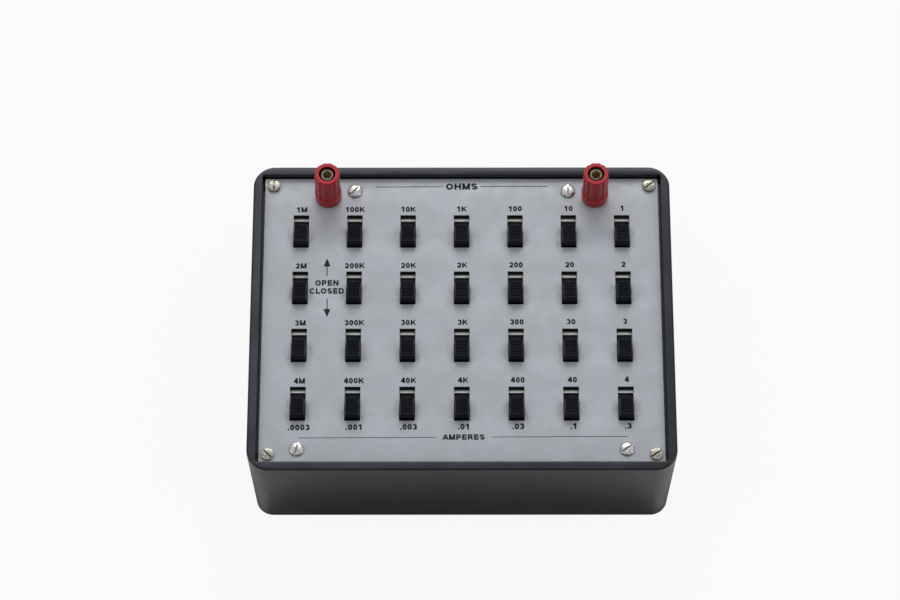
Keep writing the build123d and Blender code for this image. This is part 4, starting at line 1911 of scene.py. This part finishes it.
@dataclass
class Studio:
    """White paper floor, soft lights and the camera at the photograph's angle."""

    shop: Workshop
    focal_pixels: float = 3600.0
    image_width: float = 900.0
    sensor: float = 36.0
    elevation: float = 1.10052
    azimuth: float = 0.00343
    roll: float = -0.00365
    distance: float = 1694.02 * MM
    aim: Pair = (-5.5 * MM, 9.55 * MM)
    far_clip: float = 20.0
    zenith: float = 1.2
    horizon: float = 0.28
    front_share: float = 0.3
    sky: Colour = (0.93, 0.97, 1.06)
    floor_size: float = 6.0
    lamps: tuple[Softbox, ...] = (
        Softbox("softbox_back", (0.0, 1.5, 1.3), 1.2, 11.0),
        Softbox("softbox_left", (-1.5, -0.2, 1.2), 0.9, 3.2),
        Softbox("softbox_right", (1.5, -0.3, 1.2), 0.9, 3.6),
    )

    def camera(self) -> None:
        """Place the camera."""
        data = bpy.data.cameras.new("camera")
        data.sensor_width = self.sensor
        data.lens = self.focal_pixels / self.image_width * self.sensor
        data.clip_end = self.far_clip
        holder = placed("camera", data)
        back = Vector((math.sin(self.azimuth) * math.cos(self.elevation),
                       -math.cos(self.azimuth) * math.cos(self.elevation), math.sin(self.elevation)))
        level = Vector((0, 0, 1)).cross(back).normalized()
        upright = back.cross(level)
        right = level * math.cos(self.roll) + upright * math.sin(self.roll)
        up = upright * math.cos(self.roll) - level * math.sin(self.roll)
        turn = Matrix((right, up, back)).transposed().to_4x4()
        target = Vector((*self.aim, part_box("panel")[1].z))
        holder.matrix_world = Matrix.Translation(target + back * self.distance) @ turn
        bpy.context.scene.camera = holder

    def world(self) -> None:
        """Light everything with a pale room, brighter overhead and behind than in front."""
        world = bpy.data.worlds.new("room")
        world.use_nodes = True
        tree = world.node_tree
        room = tree.nodes["Background"]
        room.inputs["Color"].default_value = (*self.sky, 1.0)
        direction = tree.nodes.new("ShaderNodeTexCoord").outputs["Generated"]
        parts = tree.nodes.new("ShaderNodeSeparateXYZ")
        tree.links.new(direction, parts.inputs[0])
        strength = tree.nodes.new("ShaderNodeMath")
        strength.operation = "MULTIPLY"
        ramps = (("Z", 0.0, self.horizon, self.zenith), ("Y", -1.0, self.front_share, 1.0))
        for target, (letter, low, start, end) in zip(strength.inputs, ramps):
            ramp = tree.nodes.new("ShaderNodeMapRange")
            for name, value in (("From Min", low), ("To Min", start), ("To Max", end)):
                ramp.inputs[name].default_value = value
            tree.links.new(parts.outputs[letter], ramp.inputs["Value"])
            tree.links.new(ramp.outputs["Result"], target)
        tree.links.new(strength.outputs[0], room.inputs["Strength"])
        bpy.context.scene.world = world

    def build(self) -> None:
        """Set the stage."""
        half = self.floor_size / 2
        mesh = bpy.data.meshes.new("floor")
        mesh.from_pydata([(-half, -half, 0), (half, -half, 0), (half, half, 0), (-half, half, 0)],
                         [], [(0, 1, 2, 3)])
        floor = placed("floor", mesh)
        mesh.materials.append(self.shop.finish_of(StudioFloor()))
        self.world()
        for lamp in self.lamps:
            lamp.build()
        self.camera()
        bpy.context.scene.view_settings.view_transform = "Standard"


def group_centres(node: str, radius: float) -> list[Pair]:
    """Return the four corners at which a node's round pieces stand, front left first.

    Args:
        node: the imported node.
        radius: the radius of its pieces.

    Returns:
        The places, front left, back left, front right, back right.
    """
    low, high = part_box(node)
    return [(x, y) for x in (low.x + radius, high.x - radius) for y in (low.y + radius, high.y - radius)]


def main() -> None:
    """Build the box's looks, piece by piece."""
    logging.basicConfig(level=logging.INFO, format="%(message)s")
    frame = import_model()
    nodes = frame["nodes"]
    shop = Workshop()
    knob = Moulded("knob_black", (0.0105, 0.011, 0.0145), (0.0155, 0.016, 0.0205), gloss=0.34,
                   unevenness=0.16, grain=0.3 * MM, shine=0.1, corner_reach=2 * MM, corner_share=0.02)
    red = Moulded("post_red_plastic", (0.4, 0.016, 0.018), (0.47, 0.03, 0.034), gloss=0.2,
                  unevenness=0.15, grain=0.4 * MM, shine=0.24, corner_reach=2.2 * MM, corner_share=0.05)
    warm_nickel = Plated("screw_nickel_warm", (0.42, 0.4, 0.32), (0.13, 0.12, 0.08), gloss=0.2,
                         patch=0.9 * MM, corner_reach=1.6 * MM)
    nickel = Plated("screw_nickel", (0.66, 0.64, 0.6), (0.27, 0.25, 0.22), gloss=0.18,
                    patch=0.9 * MM, corner_reach=1.6 * MM)
    frame_face = FramePlate("frame_plate", (0.9, 0.9, 0.8), (0.75, 0.75, 0.65), gloss=0.45, metallic=0.2,
                            corner_share=0.5)
    phenolic = Laminate("switch_phenolic", (0.16, 0.08, 0.03), (0.22, 0.12, 0.05), weave=0.9 * MM)
    steel = Plated("pin_steel", (0.56, 0.56, 0.55), (0.4, 0.4, 0.38))
    corner_head, board_head = 3.0 * MM, 3.4 * MM
    corner_places = group_centres("panel_screws", corner_head)
    low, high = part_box("board_screws")
    outer, inner = high.x - board_head, 2 * GRID.column_pitch
    front, back = low.y + board_head, high.y - board_head
    board_places = [(-outer, front), (-inner, back), (outer, front), (inner, back)]
    posts = [BindingPost(shop, side, red) for side in ("left", "right")]
    CaseShell(shop, corner_places).build()
    panel = FacePanel(shop)
    panel.build([*corner_places, *board_places], [post.centre() for post in posts])
    Legends(shop).build(panel)
    SlottedScrews(shop, "panel_screws", warm_nickel, corner_places, angles=(-45, 90, 35, 40),
                  radius=corner_head, height=1.6 * MM, crown=0.35 * MM).build()
    SlottedScrews(shop, "board_screws", nickel, board_places, angles=(75, 50, 35, 90),
                  radius=board_head, height=1.7 * MM, crown=1.0 * MM).build()
    for post in posts:
        post.build()
    SwitchBank(shop, nodes, knob, frame_face, phenolic, steel).build()
    Internals(shop, nodes).build()
    Studio(shop).build()


if __name__ == "__main__":
    main()
